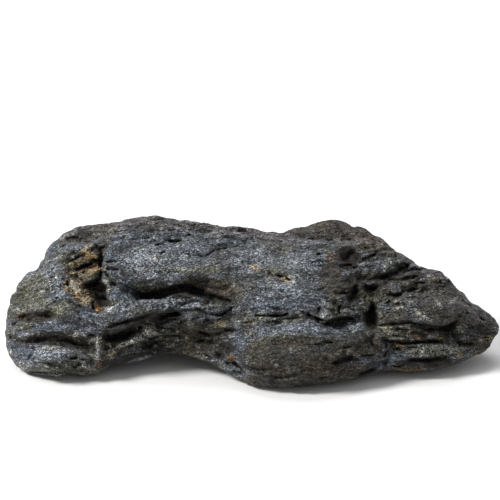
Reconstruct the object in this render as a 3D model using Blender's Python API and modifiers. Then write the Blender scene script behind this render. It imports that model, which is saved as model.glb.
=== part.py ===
"""Viewing stone: one weathered piece of dark schist that lies on its own flat feet.

+X runs along the stone, +Y to its back, +Z up. The origin is under the middle of its box, on the table.
Everything below is in millimetres until the last step, which scales the finished mesh to metres.

The show face is described on the display plane, which leans back by DISPLAY_TILT: x runs to the right
from the middle of the stone and h upwards from the lowest line of the front, both along that plane.
"""

import math

import bmesh
import bpy
import numpy as np
from mathutils import Vector, noise

METRES = 0.001
NODE = "viewing_stone"

# Driving dimensions
LENGTH = 247.0
DISPLAY_TILT = math.radians(20)
FRONT_SETBACK = 43.9  # from the middle of the stone's depth to the foot of the front lobe
FOOT_SINK = 2.4  # how far the feet are modelled below the table before they are ground flat
SOLID_FACES = 9600

# The upper and lower outline of the show face, (x, h)
UPPER_EDGE = [
    (-123.5, 20.5), (-123, 30.5), (-122, 39), (-119.5, 44.5), (-118, 50.5), (-115.5, 53.5), (-107, 59.5),
    (-104.5, 63), (-101, 69), (-95, 75), (-91, 78), (-86, 80), (-72, 81.5), (-61, 84), (-51, 85.5), (-42, 84),
    (-26, 82), (-13.5, 80), (-1, 79), (14.5, 76.5), (21.5, 79), (31.5, 81.5), (40.5, 83.5), (49, 81), (56, 79),
    (59.5, 76.5), (67, 72), (70, 69), (74, 66), (81.5, 62), (87, 59), (94, 57.5), (97.5, 54.5), (100, 51),
    (104, 48), (110, 42), (118, 36.5), (120.5, 33.5), (123.5, 28),
]
LOWER_EDGE = [
    (-123.5, 20.5), (-123, 17), (-122, 14), (-120, 11.5), (-116, 9), (-111, 7), (-103.5, 6), (-96, 6),
    (-89.5, 7), (-85, 6), (-80, 6), (-76, 7.5), (-72, 10), (-66, 11.5), (-57.5, 12.5), (-51, 15), (-47.5, 16.5),
    (-43.5, 16.5), (-33.5, 15.5), (-26, 14), (-18.5, 11), (-11, 6.5), (-6, 4), (-1, 2), (5, 0.5), (14, 0),
    (24, 0.5), (34, 1.5), (49, 4), (59, 7), (66.5, 8.5), (71.5, 8.5), (78, 7.5), (86.5, 8.5), (96.5, 10),
    (104, 12.5), (114, 16), (117, 18), (119.5, 21.5), (121.5, 24.5), (123.5, 28),
]
# How far back each outline, and the back of the stone, lies behind the foot of the front lobe, (x, depth)
UPPER_SETBACK = [(-123.5, 34), (-115, 42), (-100, 47), (-75, 50), (-50, 52), (0, 56), (15, 60), (40, 65),
                 (60, 62), (80, 57), (100, 51), (115, 46), (123.5, 40)]
LOWER_SETBACK = [(-123.5, 34), (-116, 24), (-104, 15.5), (-80, 15.5), (-66, 20), (-44, 27), (-30, 23),
                 (-11, 12), (5, 1), (19, -1), (34, 1.5), (49, 6), (66, 14), (86, 17), (104, 24), (114, 31),
                 (123.5, 40)]
BACK_DEPTH = [(-123.5, 34), (-116, 58), (-100, 72), (-72, 83), (-40, 86), (-5, 80), (35, 84), (66, 78),
              (92, 65), (112, 53), (123.5, 40)]
# The first body: a round form of RINGS stations along the stone, with SPOKES points round each
RINGS, SPOKES = 170, 110
FRONT_SWELL = [(-123.5, 0), (-118, 9), (-100, 15), (-60, 18), (0, 19), (40, 18), (80, 15), (112, 10), (123.5, 0)]
BACK_SQUARENESS = 0.8
# The underside: its clearance over the table between the feet, and each foot as (x, y, reach along, reach back)
CLEARANCE = 2.6
FEET = [(-94, -8, 15, 13), (-80, 28, 16, 14), (22, -26, 26, 14), (44, 26, 18, 16)]


class Side:
    """One way of looking at the stone: across and up are the drawing's axes, and out points to the viewer.

    Turned gives how far the surface must face the viewer to be worked at all, and to be worked in full.
    """

    def __init__(self, across, up, out, origin=(0, 0, 0), turned=(0.0, 0.15)):
        self.across, self.up, self.out = (np.array(axis, float) for axis in (across, up, out))
        self.origin = np.array(origin, float)
        self.turned = turned

    def drawn(self, points):
        away = points - self.origin
        return np.column_stack((away @ self.across, away @ self.up))

    def facing(self, normals):
        return smooth_step(*self.turned, normals @ self.out)


LEAN, UPRIGHT = math.sin(DISPLAY_TILT), math.cos(DISPLAY_TILT)
FRONT = Side((1, 0, 0), (0, LEAN, UPRIGHT), (0, -UPRIGHT, LEAN), (0, -FRONT_SETBACK, 0))
BACK = Side((-1, 0, 0), (0, 0, 1), (0, 1, 0), turned=(0.0, 0.3))
TOP = Side((1, 0, 0), (0, 1, 0), (0, 0, 1), turned=(0.75, 0.9))


# Small tools for lines and masks


def smooth_step(low, high, value):
    t = np.clip((np.asarray(value, float) - low) / (high - low), 0, 1)
    return t * t * (3 - 2 * t)


def smooth_line(points, steps=6):
    """A curve through the points (Catmull-Rom), as a finer list of points."""
    p = np.array(points, float)
    if len(p) < 3:
        return p
    p = np.vstack((2 * p[0] - p[1], p, 2 * p[-1] - p[-2]))
    t = np.linspace(0, 1, steps, endpoint=False)[:, None]
    spans = []
    for a, b, c, d in zip(p, p[1:], p[2:], p[3:]):
        spans.append(b + 0.5 * t * (c - a + t * (2 * a - 5 * b + 4 * c - d + t * (3 * (b - c) + d - a))))
    return np.vstack(spans + [p[-2]])


def station_angle(x):
    """Where a place along the stone is on the first body: 0 at the left end, pi at the right one."""
    return np.arccos(np.clip(-2 * np.asarray(x, float) / LENGTH, -1, 1))


def along(profile, x):
    """The value of a profile, a list of (x, value), at places x. Its ends come out round."""
    line = smooth_line([(float(station_angle(px)), value) for px, value in profile])
    return np.interp(station_angle(x), line[:, 0], line[:, 1])


def calm(profile, x, reach=14.0):
    """The profile without its short rises and dips, for the middle of the show face."""
    inward = np.minimum(reach, LENGTH / 2 - np.abs(x))
    return np.mean([along(profile, x + inward * share) for share in (-1, -0.5, 0, 0.5, 1)], axis=0)


def nearest_on_line(points, line):
    """(signed distance, share of the way along) of 2D points to a line. Left of the line is positive."""
    best = np.full(len(points), np.inf)
    signed, share = np.zeros(len(points)), np.zeros(len(points))
    starts = np.concatenate(([0], np.cumsum(np.linalg.norm(np.diff(line, axis=0), axis=1))))
    for i, (a, b) in enumerate(zip(line, line[1:])):
        way = b - a
        t = np.clip((points - a) @ way / max(way @ way, 1e-9), 0, 1)
        off = points - (a + t[:, None] * way)
        distance = np.hypot(off[:, 0], off[:, 1])
        closer = distance < best
        side = np.where(way[0] * off[:, 1] - way[1] * off[:, 0] < 0, -1, 1)
        best[closer] = distance[closer]
        signed[closer] = (side * distance)[closer]
        share[closer] = ((starts[i] + t * (starts[i + 1] - starts[i])) / starts[-1])[closer]
    return signed, share


# What is cut into the stone or stands on it. Each returns how far the points move: (outwards, upwards)


def groove(points, line, width, depth, droop=0.0, steep=0.5, fade=0.18):
    """A hollow along a line. Steep is the share of its width that lies above the line, where the lip droops."""
    signed, share = nearest_on_line(points, smooth_line(line))
    ends = smooth_step(0, fade, share) * smooth_step(0, fade, 1 - share)
    above, below = 2 * width * steep, 2 * width * (1 - steep)
    inside = np.clip(1 - np.where(signed > 0, signed / above, -signed / below), 0, 1)
    lip = np.exp(-(((signed - above) / (0.6 * width)) ** 2)) * (signed > -below)
    return -depth * ends * smooth_step(0, 1, inside), -droop * ends * lip


def ledge(points, line, height, reach, edge=0.8, droop=0.0, fade=0.15):
    """A layer that ends along a line: it stands out on the upper side and thins away above it."""
    signed, share = nearest_on_line(points, smooth_line(line))
    ends = smooth_step(0, fade, share) * smooth_step(0, fade, 1 - share)
    over = smooth_step(-edge, edge, signed) * np.exp(-np.clip(signed, 0, None) / reach)
    near = np.exp(-((signed / (2.5 * edge)) ** 2))
    return height * ends * over, -droop * ends * near


def ellipse(points, centre, radii, turn):
    """1 in the middle of an ellipse and 0 on its edge and beyond. The turn is in degrees."""
    c, s = math.cos(math.radians(turn)), math.sin(math.radians(turn))
    off = points - np.array(centre, float)
    r2 = ((off[:, 0] * c + off[:, 1] * s) / radii[0]) ** 2 + ((off[:, 1] * c - off[:, 0] * s) / radii[1]) ** 2
    return np.clip(1 - r2, 0, 1)


def lump(points, centre, radii, height, turn=0.0):
    """A rounded swelling, or a hollow where the height is negative."""
    return height * ellipse(points, centre, radii, turn) ** 1.5, np.zeros(len(points))


def chip(points, centre, radii, depth, turn=0.0, rim=0.3):
    """A broken-out pit with a nearly flat floor and a steep rim. With a negative depth it is a block."""
    return -depth * smooth_step(0, rim, ellipse(points, centre, radii, turn)), np.zeros(len(points))


def beds(points, centre, radii, height, thick, slope=0.0, block=13.0):
    """Broken layers: every one is split into blocks, and each block stands out by its own amount."""
    c, s = math.cos(math.radians(slope)), math.sin(math.radians(slope))
    run = points[:, 0] * c + points[:, 1] * s
    rise = points[:, 1] * c - points[:, 0] * s
    bed = np.floor((rise + 0.9 * np.sin(run / 7.0) + 0.5 * np.sin(run / 2.9 + 2)) / thick)
    part = np.floor((run + 1.2 * np.sin(rise / 1.7)) / block + 0.61 * bed)
    chance = np.modf(np.sin(bed * 12.9898 + part * 78.233) * 4375.85)[0]
    return height * chance * smooth_step(0, 0.5, ellipse(points, centre, radii, slope)), np.zeros(len(points))


# The forms of the show face, in the order in which they are worked, as (tool, values)
SHOW_FACE = [
    # The main masses: the nose, the shoulder, the front lobe, the left foot, the cheek and the right foot
    (lump, dict(centre=(-44, 63), radii=(46, 22), height=5.0, turn=3)),
    (lump, dict(centre=(10, 54), radii=(46, 26), height=4.5, turn=-14)),
    (lump, dict(centre=(27, 19), radii=(44, 20), height=9.5, turn=-3)),
    (lump, dict(centre=(-95, 15), radii=(32, 13), height=5.0)),
    (lump, dict(centre=(-98, 46), radii=(34, 22), height=2.5, turn=60)),
    (lump, dict(centre=(87, 41), radii=(32, 13), height=6.0, turn=-12)),
    (lump, dict(centre=(88, 14), radii=(36, 8), height=3.0, turn=4)),
    # The worn wall over the arch, the broken saddle left of the cheek and the dent under the back peak
    (lump, dict(centre=(-34, 23), radii=(34, 15), height=-6.5, turn=-2)),
    (lump, dict(centre=(57, 47), radii=(25, 17), height=-4.5, turn=60)),
    (chip, dict(centre=(48, 63.5), radii=(7.5, 5.5), depth=2.6, turn=-15, rim=0.6)),
    (beds, dict(centre=(-34, 24), radii=(40, 14), height=2.2, thick=4.6, slope=8, block=11)),
    (beds, dict(centre=(68, 52), radii=(32, 16), height=2.3, thick=4.8, slope=17, block=12)),
    (beds, dict(centre=(46, 38), radii=(14, 11), height=2.2, thick=4.0, slope=-8, block=6)),
    (beds, dict(centre=(26, 17), radii=(46, 18), height=1.1, thick=5.6, slope=2, block=22)),
    (beds, dict(centre=(-100, 17), radii=(28, 14), height=1.3, thick=4.6, slope=-4, block=13)),
    (beds, dict(centre=(-52, 34), radii=(34, 7), height=1.3, thick=3.6, slope=10, block=12)),
    (beds, dict(centre=(-96, 60), radii=(34, 17), height=0.9, thick=4.8, slope=24, block=17)),
    (beds, dict(centre=(-30, 74), radii=(60, 9), height=0.8, thick=3.8, slope=-3, block=19)),
    # The long hollow under the nose, and the bar that stands out below it
    (groove, dict(line=[(-66, 51), (-58, 47), (-51, 44.5), (-42, 44.5), (-33, 46), (-25, 46.5), (-18, 44.5),
                        (-12, 42), (-6, 39.5)], width=8.0, depth=10.5, steep=0.8, fade=0.22)),
    (groove, dict(line=[(-60, 47), (-51, 44.8), (-41, 45), (-32, 46.5), (-24, 46)], width=3.0, depth=4.0, droop=1.0)),
    (ledge, dict(line=[(-78, 31.5), (-68.5, 32), (-58.5, 35), (-51, 37), (-41, 38.5), (-31, 39), (-23.5, 37.5),
                       (-16, 36.5), (-9, 38.5)], height=5.0, reach=5.5, droop=1.4)),
    (groove, dict(line=[(-77, 25), (-68, 25.5), (-61, 28.5), (-53.5, 32), (-43.5, 34.5), (-35, 36)],
                  width=6.0, depth=7.0, droop=1.4, steep=0.45)),
    (chip, dict(centre=(-40, 34.5), radii=(5.5, 2.6), depth=3.0, turn=8)),
    (ledge, dict(line=[(-76, 14), (-67, 17), (-58, 23), (-50, 29), (-45, 30)], height=-3.0, reach=5.0, edge=1.0)),
    (groove, dict(line=[(-26, 36), (-18, 34.5), (-10, 37)], width=2.6, depth=2.8)),
    (groove, dict(line=[(-24, 27), (-16, 27), (-8, 29)], width=2.6, depth=2.6)),
    (groove, dict(line=[(-32, 21), (-20, 20.5), (-10, 20)], width=2.8, depth=2.4)),
    (lump, dict(centre=(-28, 31), radii=(7, 4.5), height=2.4, turn=-10)),
    (lump, dict(centre=(-51, 29.5), radii=(4, 3), height=2.2)),
    # The left foot with its deep furrow, and the notches above it
    (groove, dict(line=[(-112, 25), (-101, 25.5), (-92, 24.5), (-84, 22.5), (-76.5, 19)],
                  width=4.4, depth=6.0, droop=1.6, steep=0.42)),
    (groove, dict(line=[(-120, 33.5), (-111, 36), (-104, 36.5), (-94, 36.5)], width=3.0, depth=2.8, droop=0.8)),
    (groove, dict(line=[(-123, 30), (-116, 31.5), (-103, 31.5), (-98, 32.5)], width=2.2, depth=1.6)),
    (ledge, dict(line=[(-121, 27), (-114, 26.2), (-107, 26)], height=1.8, reach=2.5)),
    (groove, dict(line=[(-121, 24), (-116, 22.5), (-110, 23)], width=2.2, depth=1.8)),
    (chip, dict(centre=(-115, 15), radii=(4.5, 2.2), depth=1.8, turn=-8)),
    (chip, dict(centre=(-87, 16), radii=(4.5, 2.0), depth=2.0, turn=-8)),
    (lump, dict(centre=(-100, 17), radii=(9, 4.5), height=2.2)),
    (lump, dict(centre=(-75.5, 19), radii=(2.6, 7), height=3.6)),
    # The pocket with a sheer right wall, broken back in steps, and the voids at its foot
    (chip, dict(centre=(-83, 55.5), radii=(12, 15.5), depth=3.6, turn=-16, rim=0.6)),
    (beds, dict(centre=(-83, 55.5), radii=(12.5, 16), height=2.8, thick=4.4, slope=9, block=6.5)),
    (groove, dict(line=[(-89, 61), (-82, 60.5), (-76, 62)], width=1.7, depth=2.6)),
    (groove, dict(line=[(-84, 48), (-80, 50.5), (-76, 51), (-74, 48), (-72.5, 44.5)], width=2.8, depth=5.5)),
    (groove, dict(line=[(-73.5, 71), (-75.5, 66), (-75.3, 61), (-74.8, 57), (-76.5, 53)], width=2.6, depth=7.0)),
    (chip, dict(centre=(-74.5, 43), radii=(5, 2.8), depth=3.6, turn=-12, rim=0.6)),
    (groove, dict(line=[(-74, 60), (-70, 58.5), (-65, 58.5)], width=1.8, depth=2.4)),
    (chip, dict(centre=(-68.5, 51.5), radii=(2.4, 2.0), depth=2.6)),
    (lump, dict(centre=(-70, 47), radii=(5, 7), height=2.0)),
    # The cleft left of the front lobe
    (groove, dict(line=[(-8, 40), (-11, 34), (-12, 28), (-12.5, 21), (-10, 15), (-6, 10), (-1, 3)],
                  width=4.2, depth=6.0, steep=0.35)),
    # The crack over the front lobe, and the broken ground to its right
    (ledge, dict(line=[(0, 36.5), (11.5, 36), (19, 36.5), (25, 38), (28.5, 36), (32, 33.5), (39, 31.5), (46, 33.5),
                       (54, 33)], height=3.2, reach=9.0)),
    (groove, dict(line=[(1, 35.6), (11.5, 35), (19, 35.6), (25, 36.8), (29, 35), (32, 33), (39, 31.5), (46, 33),
                        (54, 32.5)], width=2.2, depth=4.4, droop=0.6)),
    (groove, dict(line=[(-2, 41), (8, 41), (18, 39.5), (27, 38.5)], width=2.0, depth=1.8)),
    (chip, dict(centre=(39.5, 32.2), radii=(4.5, 1.8), depth=3.0, turn=5)),
    (chip, dict(centre=(46, 35), radii=(4, 2.2), depth=3.0, turn=15)),
    (lump, dict(centre=(35.5, 38.5), radii=(4.5, 4.5), height=2.8)),
    (chip, dict(centre=(50, 47.5), radii=(2.8, 4.4), depth=3.4, turn=-15)),
    (chip, dict(centre=(59, 36), radii=(3.8, 6.5), depth=6.5, turn=-14, rim=0.5)),
    (chip, dict(centre=(59.5, 49.5), radii=(4.6, 2.4), depth=3.6, turn=5)),
    (groove, dict(line=[(59, 53.5), (66, 54.5), (72, 57.5), (78, 61.5)], width=2.8, depth=4.4, droop=1.0)),
    (groove, dict(line=[(50, 56), (56, 58.5), (64, 62)], width=2.2, depth=2.6)),
    (groove, dict(line=[(76, 47.5), (83, 49), (90, 52.5)], width=2.4, depth=3.0, droop=0.6)),
    (groove, dict(line=[(66, 45.5), (71, 46), (76, 48)], width=1.8, depth=1.8)),
    (groove, dict(line=[(72, 54.5), (78, 56), (85, 58.5)], width=2.0, depth=2.2)),
    # The layers under the cheek
    (ledge, dict(line=[(60, 32), (70, 32.3), (80, 32), (90, 32.2), (97, 33.5), (103.5, 37)],
                 height=4.6, reach=6.0, droop=1.2)),
    (groove, dict(line=[(61, 30), (72, 30.5), (84, 30.8), (95, 31), (102, 33)], width=2.8, depth=4.0, steep=0.3)),
    (chip, dict(centre=(98, 27), radii=(5, 5.5), depth=2.6, rim=0.6)),
    (beds, dict(centre=(84, 23), radii=(30, 10), height=1.7, thick=3.9, slope=1, block=9)),
    (groove, dict(line=[(63, 24), (71, 22.5), (80, 21.5), (90, 22.5), (99, 24)], width=2.4, depth=3.8, droop=0.8)),
    (groove, dict(line=[(74, 15), (82, 14.5), (92, 14.5), (101, 16.5)], width=2.8, depth=3.2, droop=0.6)),
    (groove, dict(line=[(61.5, 29), (64, 23), (66, 18), (65, 12)], width=2.6, depth=3.4)),
    # The slits and ribs under the front lobe, and the crease before the tip
    (groove, dict(line=[(38, 12), (45, 14.5), (54, 16.5)], width=2.0, depth=2.0)),
    (groove, dict(line=[(50, 6.5), (58, 9), (63, 9.5)], width=1.8, depth=1.6)),
    (groove, dict(line=[(0, 11), (10, 9.5), (20, 10)], width=2.4, depth=1.4)),
    (groove, dict(line=[(6, 26), (22, 24), (40, 24.5), (52, 26)], width=2.8, depth=1.0)),
    (ledge, dict(line=[(108, 44), (113, 38), (117, 33), (117.5, 31), (111, 29), (102, 30)], height=-1.8, reach=4.0)),
    (groove, dict(line=[(100, 24), (106, 21), (112, 20.5)], width=2.0, depth=1.8)),
    # Dents of the upper band, and the edge of the show face under the back peak
    (groove, dict(line=[(-48, 70.5), (-40, 72.5), (-32, 74)], width=2.2, depth=2.0, droop=0.5)),
    (groove, dict(line=[(-32, 65.5), (-24, 65), (-14, 68)], width=2.2, depth=1.4)),
    (groove, dict(line=[(-96, 72), (-86, 74), (-76, 73)], width=2.4, depth=2.2)),
    (chip, dict(centre=(-2, 73.5), radii=(3.6, 1.6), depth=1.8)),
    (groove, dict(line=[(0, 60.5), (5, 58.5), (12, 56), (20, 52)], width=2.0, depth=1.5)),
    (ledge, dict(line=[(6, 77), (18, 73.5), (30, 73), (44, 73.5), (56, 74), (66, 71), (74, 66)],
                 height=-4.5, reach=14.0, edge=1.2)),
]

# The back, (x, z) as seen from behind, so that x runs the other way
REAR_FACE = [
    (lump, dict(centre=(-58, 38), radii=(46, 26), height=5.0, turn=-8)),
    (lump, dict(centre=(34, 44), radii=(50, 20), height=5.0, turn=6)),
    (lump, dict(centre=(76, 22), radii=(34, 16), height=4.0)),
    (lump, dict(centre=(-8, 20), radii=(34, 12), height=-4.0, turn=4)),
    (beds, dict(centre=(-40, 30), radii=(62, 24), height=1.4, thick=5.2, slope=-6, block=17)),
    (beds, dict(centre=(52, 30), radii=(58, 26), height=1.5, thick=4.8, slope=-10, block=14)),
    (groove, dict(line=[(-96, 26), (-64, 22), (-38, 25), (-14, 19), (8, 21)],
                  width=4.6, depth=6.0, droop=1.6, steep=0.6)),
    (groove, dict(line=[(-30, 54), (-8, 44), (14, 42), (40, 36), (70, 33), (92, 28)],
                  width=4.6, depth=5.5, droop=1.4, steep=0.6)),
    (groove, dict(line=[(-14, 62), (-16, 50), (-10, 40), (-14, 26)], width=3.4, depth=4.0)),
    (ledge, dict(line=[(14, 17), (40, 19), (66, 16), (94, 20)], height=3.5, reach=6.0, droop=1.0)),
    (chip, dict(centre=(-66, 48), radii=(10, 5), depth=3.0, turn=-12)),
    (chip, dict(centre=(58, 52), radii=(8, 4.5), depth=2.8, turn=-20)),
    (groove, dict(line=[(-98, 42), (-84, 44), (-70, 40)], width=2.6, depth=2.4)),
]
CREST = [
    (groove, dict(line=[(-104, 8), (-76, 14), (-50, 12), (-22, 20), (4, 18)], width=4.0, depth=3.0)),
    (beds, dict(centre=(-20, 22), radii=(90, 24), height=1.2, thick=6.0, slope=5, block=20)),
    (groove, dict(line=[(10, 14), (30, 22), (52, 20), (76, 12)], width=4.4, depth=3.0)),
    (chip, dict(centre=(-70, 30), radii=(14, 7), depth=2.6, turn=-10)),
]


def first_body():
    """A closed round form whose front has the stone's outline, cut short where it would go through the table."""
    bm = bmesh.new()
    bmesh.ops.create_uvsphere(bm, u_segments=SPOKES, v_segments=RINGS, radius=1)
    unit = np.array([v.co for v in bm.verts])
    x = unit[:, 2] * LENGTH / 2
    ring = np.hypot(unit[:, 0], unit[:, 1])
    safe = np.maximum(ring, 1e-6)
    rise, swell = unit[:, 0] / safe * (ring > 1e-5), unit[:, 1] / safe * (ring > 1e-5)
    edge = smooth_step(0.6, 0.97, np.abs(rise))
    upper = along(UPPER_EDGE, x) * edge + calm(UPPER_EDGE, x) * (1 - edge)
    lower = along(LOWER_EDGE, x) * edge + calm(LOWER_EDGE, x) * (1 - edge)
    h = (upper + lower) / 2 + (upper - lower) / 2 * rise
    share = (rise + 1) / 2
    setback = along(LOWER_SETBACK, x) * (1 - share) + along(UPPER_SETBACK, x) * share
    out = (h * LEAN - setback) / UPRIGHT
    front = along(FRONT_SWELL, x) * np.clip(swell, 0, None) ** 0.9
    back = (along(BACK_DEPTH, x) - (along(LOWER_SETBACK, x) + along(UPPER_SETBACK, x)) / 2) / UPRIGHT
    back = np.clip(back, 0, None) * np.clip(-swell, 0, None) ** BACK_SQUARENESS
    out = out + front - back
    for vert, vx, vh, vo in zip(bm.verts, x, h, out):
        vert.co = Vector(FRONT.origin + vx * FRONT.across + vh * FRONT.up + vo * FRONT.out)
    bmesh.ops.recalc_face_normals(bm, faces=bm.faces)
    mesh = bpy.data.meshes.new(NODE)
    bm.to_mesh(mesh)
    bm.free()
    stone = bpy.data.objects.new(NODE, mesh)
    bpy.context.scene.collection.objects.link(stone)
    return stone


def underside(x, y):
    """How high the stone's underside is over the table: feet that touch it, an arch and two lifted ends."""
    arch = 9 * np.exp(-(((x + 40) / 20) ** 2)) * (1 - 0.75 * smooth_step(-10, 40, y))
    ends = 10 * smooth_step(96, 124, x) + 5 * smooth_step(112, 124, -x)
    height = CLEARANCE + arch + ends
    for foot_x, foot_y, reach_x, reach_y in FEET:
        foot = np.exp(-((((x - foot_x) / reach_x) ** 2 + ((y - foot_y) / reach_y) ** 2) ** 2))
        height = height + (-FOOT_SINK - height) * foot
    return height


def points_of(stone):
    co = np.empty(len(stone.data.vertices) * 3, np.float32)
    stone.data.vertices.foreach_get("co", co)
    return co.reshape(-1, 3).astype(float)


def normals_of(stone):
    normals = np.empty(len(stone.data.vertices) * 3, np.float32)
    stone.data.vertices.foreach_get("normal", normals)
    return normals.reshape(-1, 3).astype(float)


def place(stone, points):
    stone.data.vertices.foreach_set("co", points.astype(np.float32).ravel())
    stone.data.update()


def rest_on_table(stone):
    """Lifts what is under the table to the underside, with a soft turn from side to sole."""
    points = points_of(stone)
    floor = underside(points[:, 0], points[:, 1])
    over = points[:, 2] - floor
    soft = 5.0
    points[:, 2] = floor + np.where(over > soft, over, soft * np.exp((np.minimum(over, soft) - soft) / soft))
    place(stone, points)


def apply_modifiers(stone):
    graph = bpy.context.evaluated_depsgraph_get()
    old = stone.data
    stone.data = bpy.data.meshes.new_from_object(stone.evaluated_get(graph))
    stone.modifiers.clear()
    bpy.data.meshes.remove(old)
    stone.data.name = NODE


def even_out(stone, cell, rounds):
    """Gives the stone an even skin of square faces, cell wide, and smooths it a little."""
    remesh = stone.modifiers.new("even_skin", "REMESH")
    remesh.mode = "VOXEL"
    remesh.voxel_size = cell
    smooth = stone.modifiers.new("worn", "SMOOTH")
    smooth.factor = 0.5
    smooth.iterations = rounds
    apply_modifiers(stone)


def wander(drawn):
    """How far a drawn place is off its true one, so that no edge of a form comes out straight or round."""
    off = np.empty(drawn.shape)
    for i, (x, h) in enumerate(drawn):
        broad, fine = Vector((x / 9, h / 6, 0.5)), Vector((x / 3.6, h / 2.4, 7.5))
        off[i] = 1.9 * noise.noise(broad) + 0.9 * noise.noise(fine), 1.6 * noise.noise(broad + Vector((0, 0, 9)))
    return off


def work(stone, side, forms):
    """Cuts and raises the forms of one side, each in turn."""
    off = wander(side.drawn(points_of(stone)))
    for tool, values in forms:
        points, normals = points_of(stone), normals_of(stone)
        outwards, upwards = tool(side.drawn(points) + off, **values)
        facing = side.facing(normals)
        points += (outwards * facing)[:, None] * side.out + (upwards * facing)[:, None] * side.up
        place(stone, points)


def weather(stone):
    """Uneven lumps with creases between them all over, drawn out along the layers of the rock."""
    points, normals = points_of(stone), normals_of(stone)
    push = np.empty(len(points))
    for i, (x, y, z) in enumerate(points):
        bed = z + 0.18 * y + 5 * noise.noise(Vector((x / 55, y / 55, z / 55)))
        broad = noise.noise(Vector((x / 34, y / 26, bed / 20)))
        lens = abs(noise.noise(Vector((x / 19 + 7, y / 14, bed / 6.5))))
        grain = abs(noise.noise(Vector((x / 9 + 3, y / 7, bed / 3.2 + 5))))
        push[i] = 1.4 * broad + 2.6 * (lens - 0.2) + 1.2 * (grain - 0.2)
    place(stone, points + normals * push[:, None])


def fit_outline(stone):
    """Brings the ends and the two edges of the show face back to the drawn ones after the carving."""
    points = points_of(stone)
    left, right = points[:, 0].min(), points[:, 0].max()
    points[:, 0] = (points[:, 0] - left) / (right - left) * LENGTH - LENGTH / 2
    x, h = FRONT.drawn(points).T
    stations = np.arange(-LENGTH / 2 + 2, LENGTH / 2, 2.0)
    near = [h[np.abs(x - station) < 1.5] for station in stations]
    drawn_near = [stations + step for step in (-1.5, -0.7, 0, 0.7, 1.5)]
    top, low = [band.max() for band in near], [band.min() for band in near]
    rise = np.max([along(UPPER_EDGE, place) for place in drawn_near], axis=0) - top
    drop = np.min([along(LOWER_EDGE, place) for place in drawn_near], axis=0) - low
    top, low, rise, drop = (np.interp(x, stations, values) for values in (top, low, rise, drop))
    share = np.clip((h - low) / (top - low), 0, 1)
    shift = (share * rise + (1 - share) * drop) * smooth_step(1, 7, LENGTH / 2 - np.abs(x))
    place(stone, points + shift[:, None] * FRONT.up)


def lighten(stone, faces):
    """Brings the mesh down to a number of triangles, keeping them where the shape turns."""
    stone.data.calc_loop_triangles()
    fewer = stone.modifiers.new("fewer_faces", "DECIMATE")
    fewer.use_collapse_triangulate = True
    fewer.ratio = faces / len(stone.data.loop_triangles)
    apply_modifiers(stone)


def grind_feet(stone):
    """Cuts the feet off flat at the table."""
    bm = bmesh.new()
    bm.from_mesh(stone.data)
    cut = bmesh.ops.bisect_plane(
        bm, geom=bm.verts[:] + bm.edges[:] + bm.faces[:], dist=1e-4,
        plane_co=(0, 0, 0), plane_no=(0, 0, 1), clear_inner=True,
    )
    rim = [part for part in cut["geom_cut"] if isinstance(part, bmesh.types.BMEdge)]
    bmesh.ops.edgeloop_fill(bm, edges=rim)
    bmesh.ops.recalc_face_normals(bm, faces=bm.faces)
    bm.to_mesh(stone.data)
    bm.free()


def dark_schist():
    material = bpy.data.materials.new("dark_schist")
    material.use_nodes = True
    shader = material.node_tree.nodes["Principled BSDF"]
    shader.inputs["Base Color"].default_value = (0.052, 0.057, 0.066, 1)
    shader.inputs["Roughness"].default_value = 0.55
    shader.inputs["Metallic"].default_value = 0.0
    return material


def main():
    for obj in list(bpy.data.objects):
        bpy.data.objects.remove(obj, do_unlink=True)
    stone = first_body()
    rest_on_table(stone)
    even_out(stone, 1.1, 1)
    work(stone, FRONT, SHOW_FACE)
    work(stone, BACK, REAR_FACE)
    work(stone, TOP, CREST)
    weather(stone)
    fit_outline(stone)
    even_out(stone, 0.9, 0)
    lighten(stone, SOLID_FACES)
    grind_feet(stone)
    stone.data.transform(((METRES, 0, 0, 0), (0, METRES, 0, 0), (0, 0, METRES, 0), (0, 0, 0, 1)))
    stone.data.materials.append(dark_schist())
    collection = bpy.data.collections.new("Viewing stone")
    bpy.context.scene.collection.children.link(collection)
    bpy.context.scene.collection.objects.unlink(stone)
    collection.objects.link(stone)


main()
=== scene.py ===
"""Viewing stone: the skin, colours and mica of a long dark schist stone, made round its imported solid.

+X runs along the stone, +Y to its back, +Z up, in metres. Forms are worked in millimetres, on the display
plane of the show face, which leans back by DISPLAY_TILT: x runs to the right from the middle of the stone
and h upwards from the lowest line of the front, both along that plane.
"""

import math

import bpy
import numpy as np
from mathutils import Matrix, Vector, noise


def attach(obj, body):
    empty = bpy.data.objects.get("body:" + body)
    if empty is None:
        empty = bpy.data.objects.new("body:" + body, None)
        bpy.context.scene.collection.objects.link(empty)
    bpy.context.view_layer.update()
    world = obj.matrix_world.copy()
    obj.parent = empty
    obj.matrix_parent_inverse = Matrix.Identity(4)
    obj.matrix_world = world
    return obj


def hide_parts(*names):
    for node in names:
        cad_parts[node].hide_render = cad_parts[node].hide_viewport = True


bl_info = {
    "name": "Viewing stone",
    "version": (1, 0, 0),
    "blender": (4, 5, 0),
    "location": "3D View > Sidebar > Stone",
    "description": "A dark schist viewing stone with creased layers, a rusty pocket and mica flakes",
    "category": "Add Mesh",
}

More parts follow.
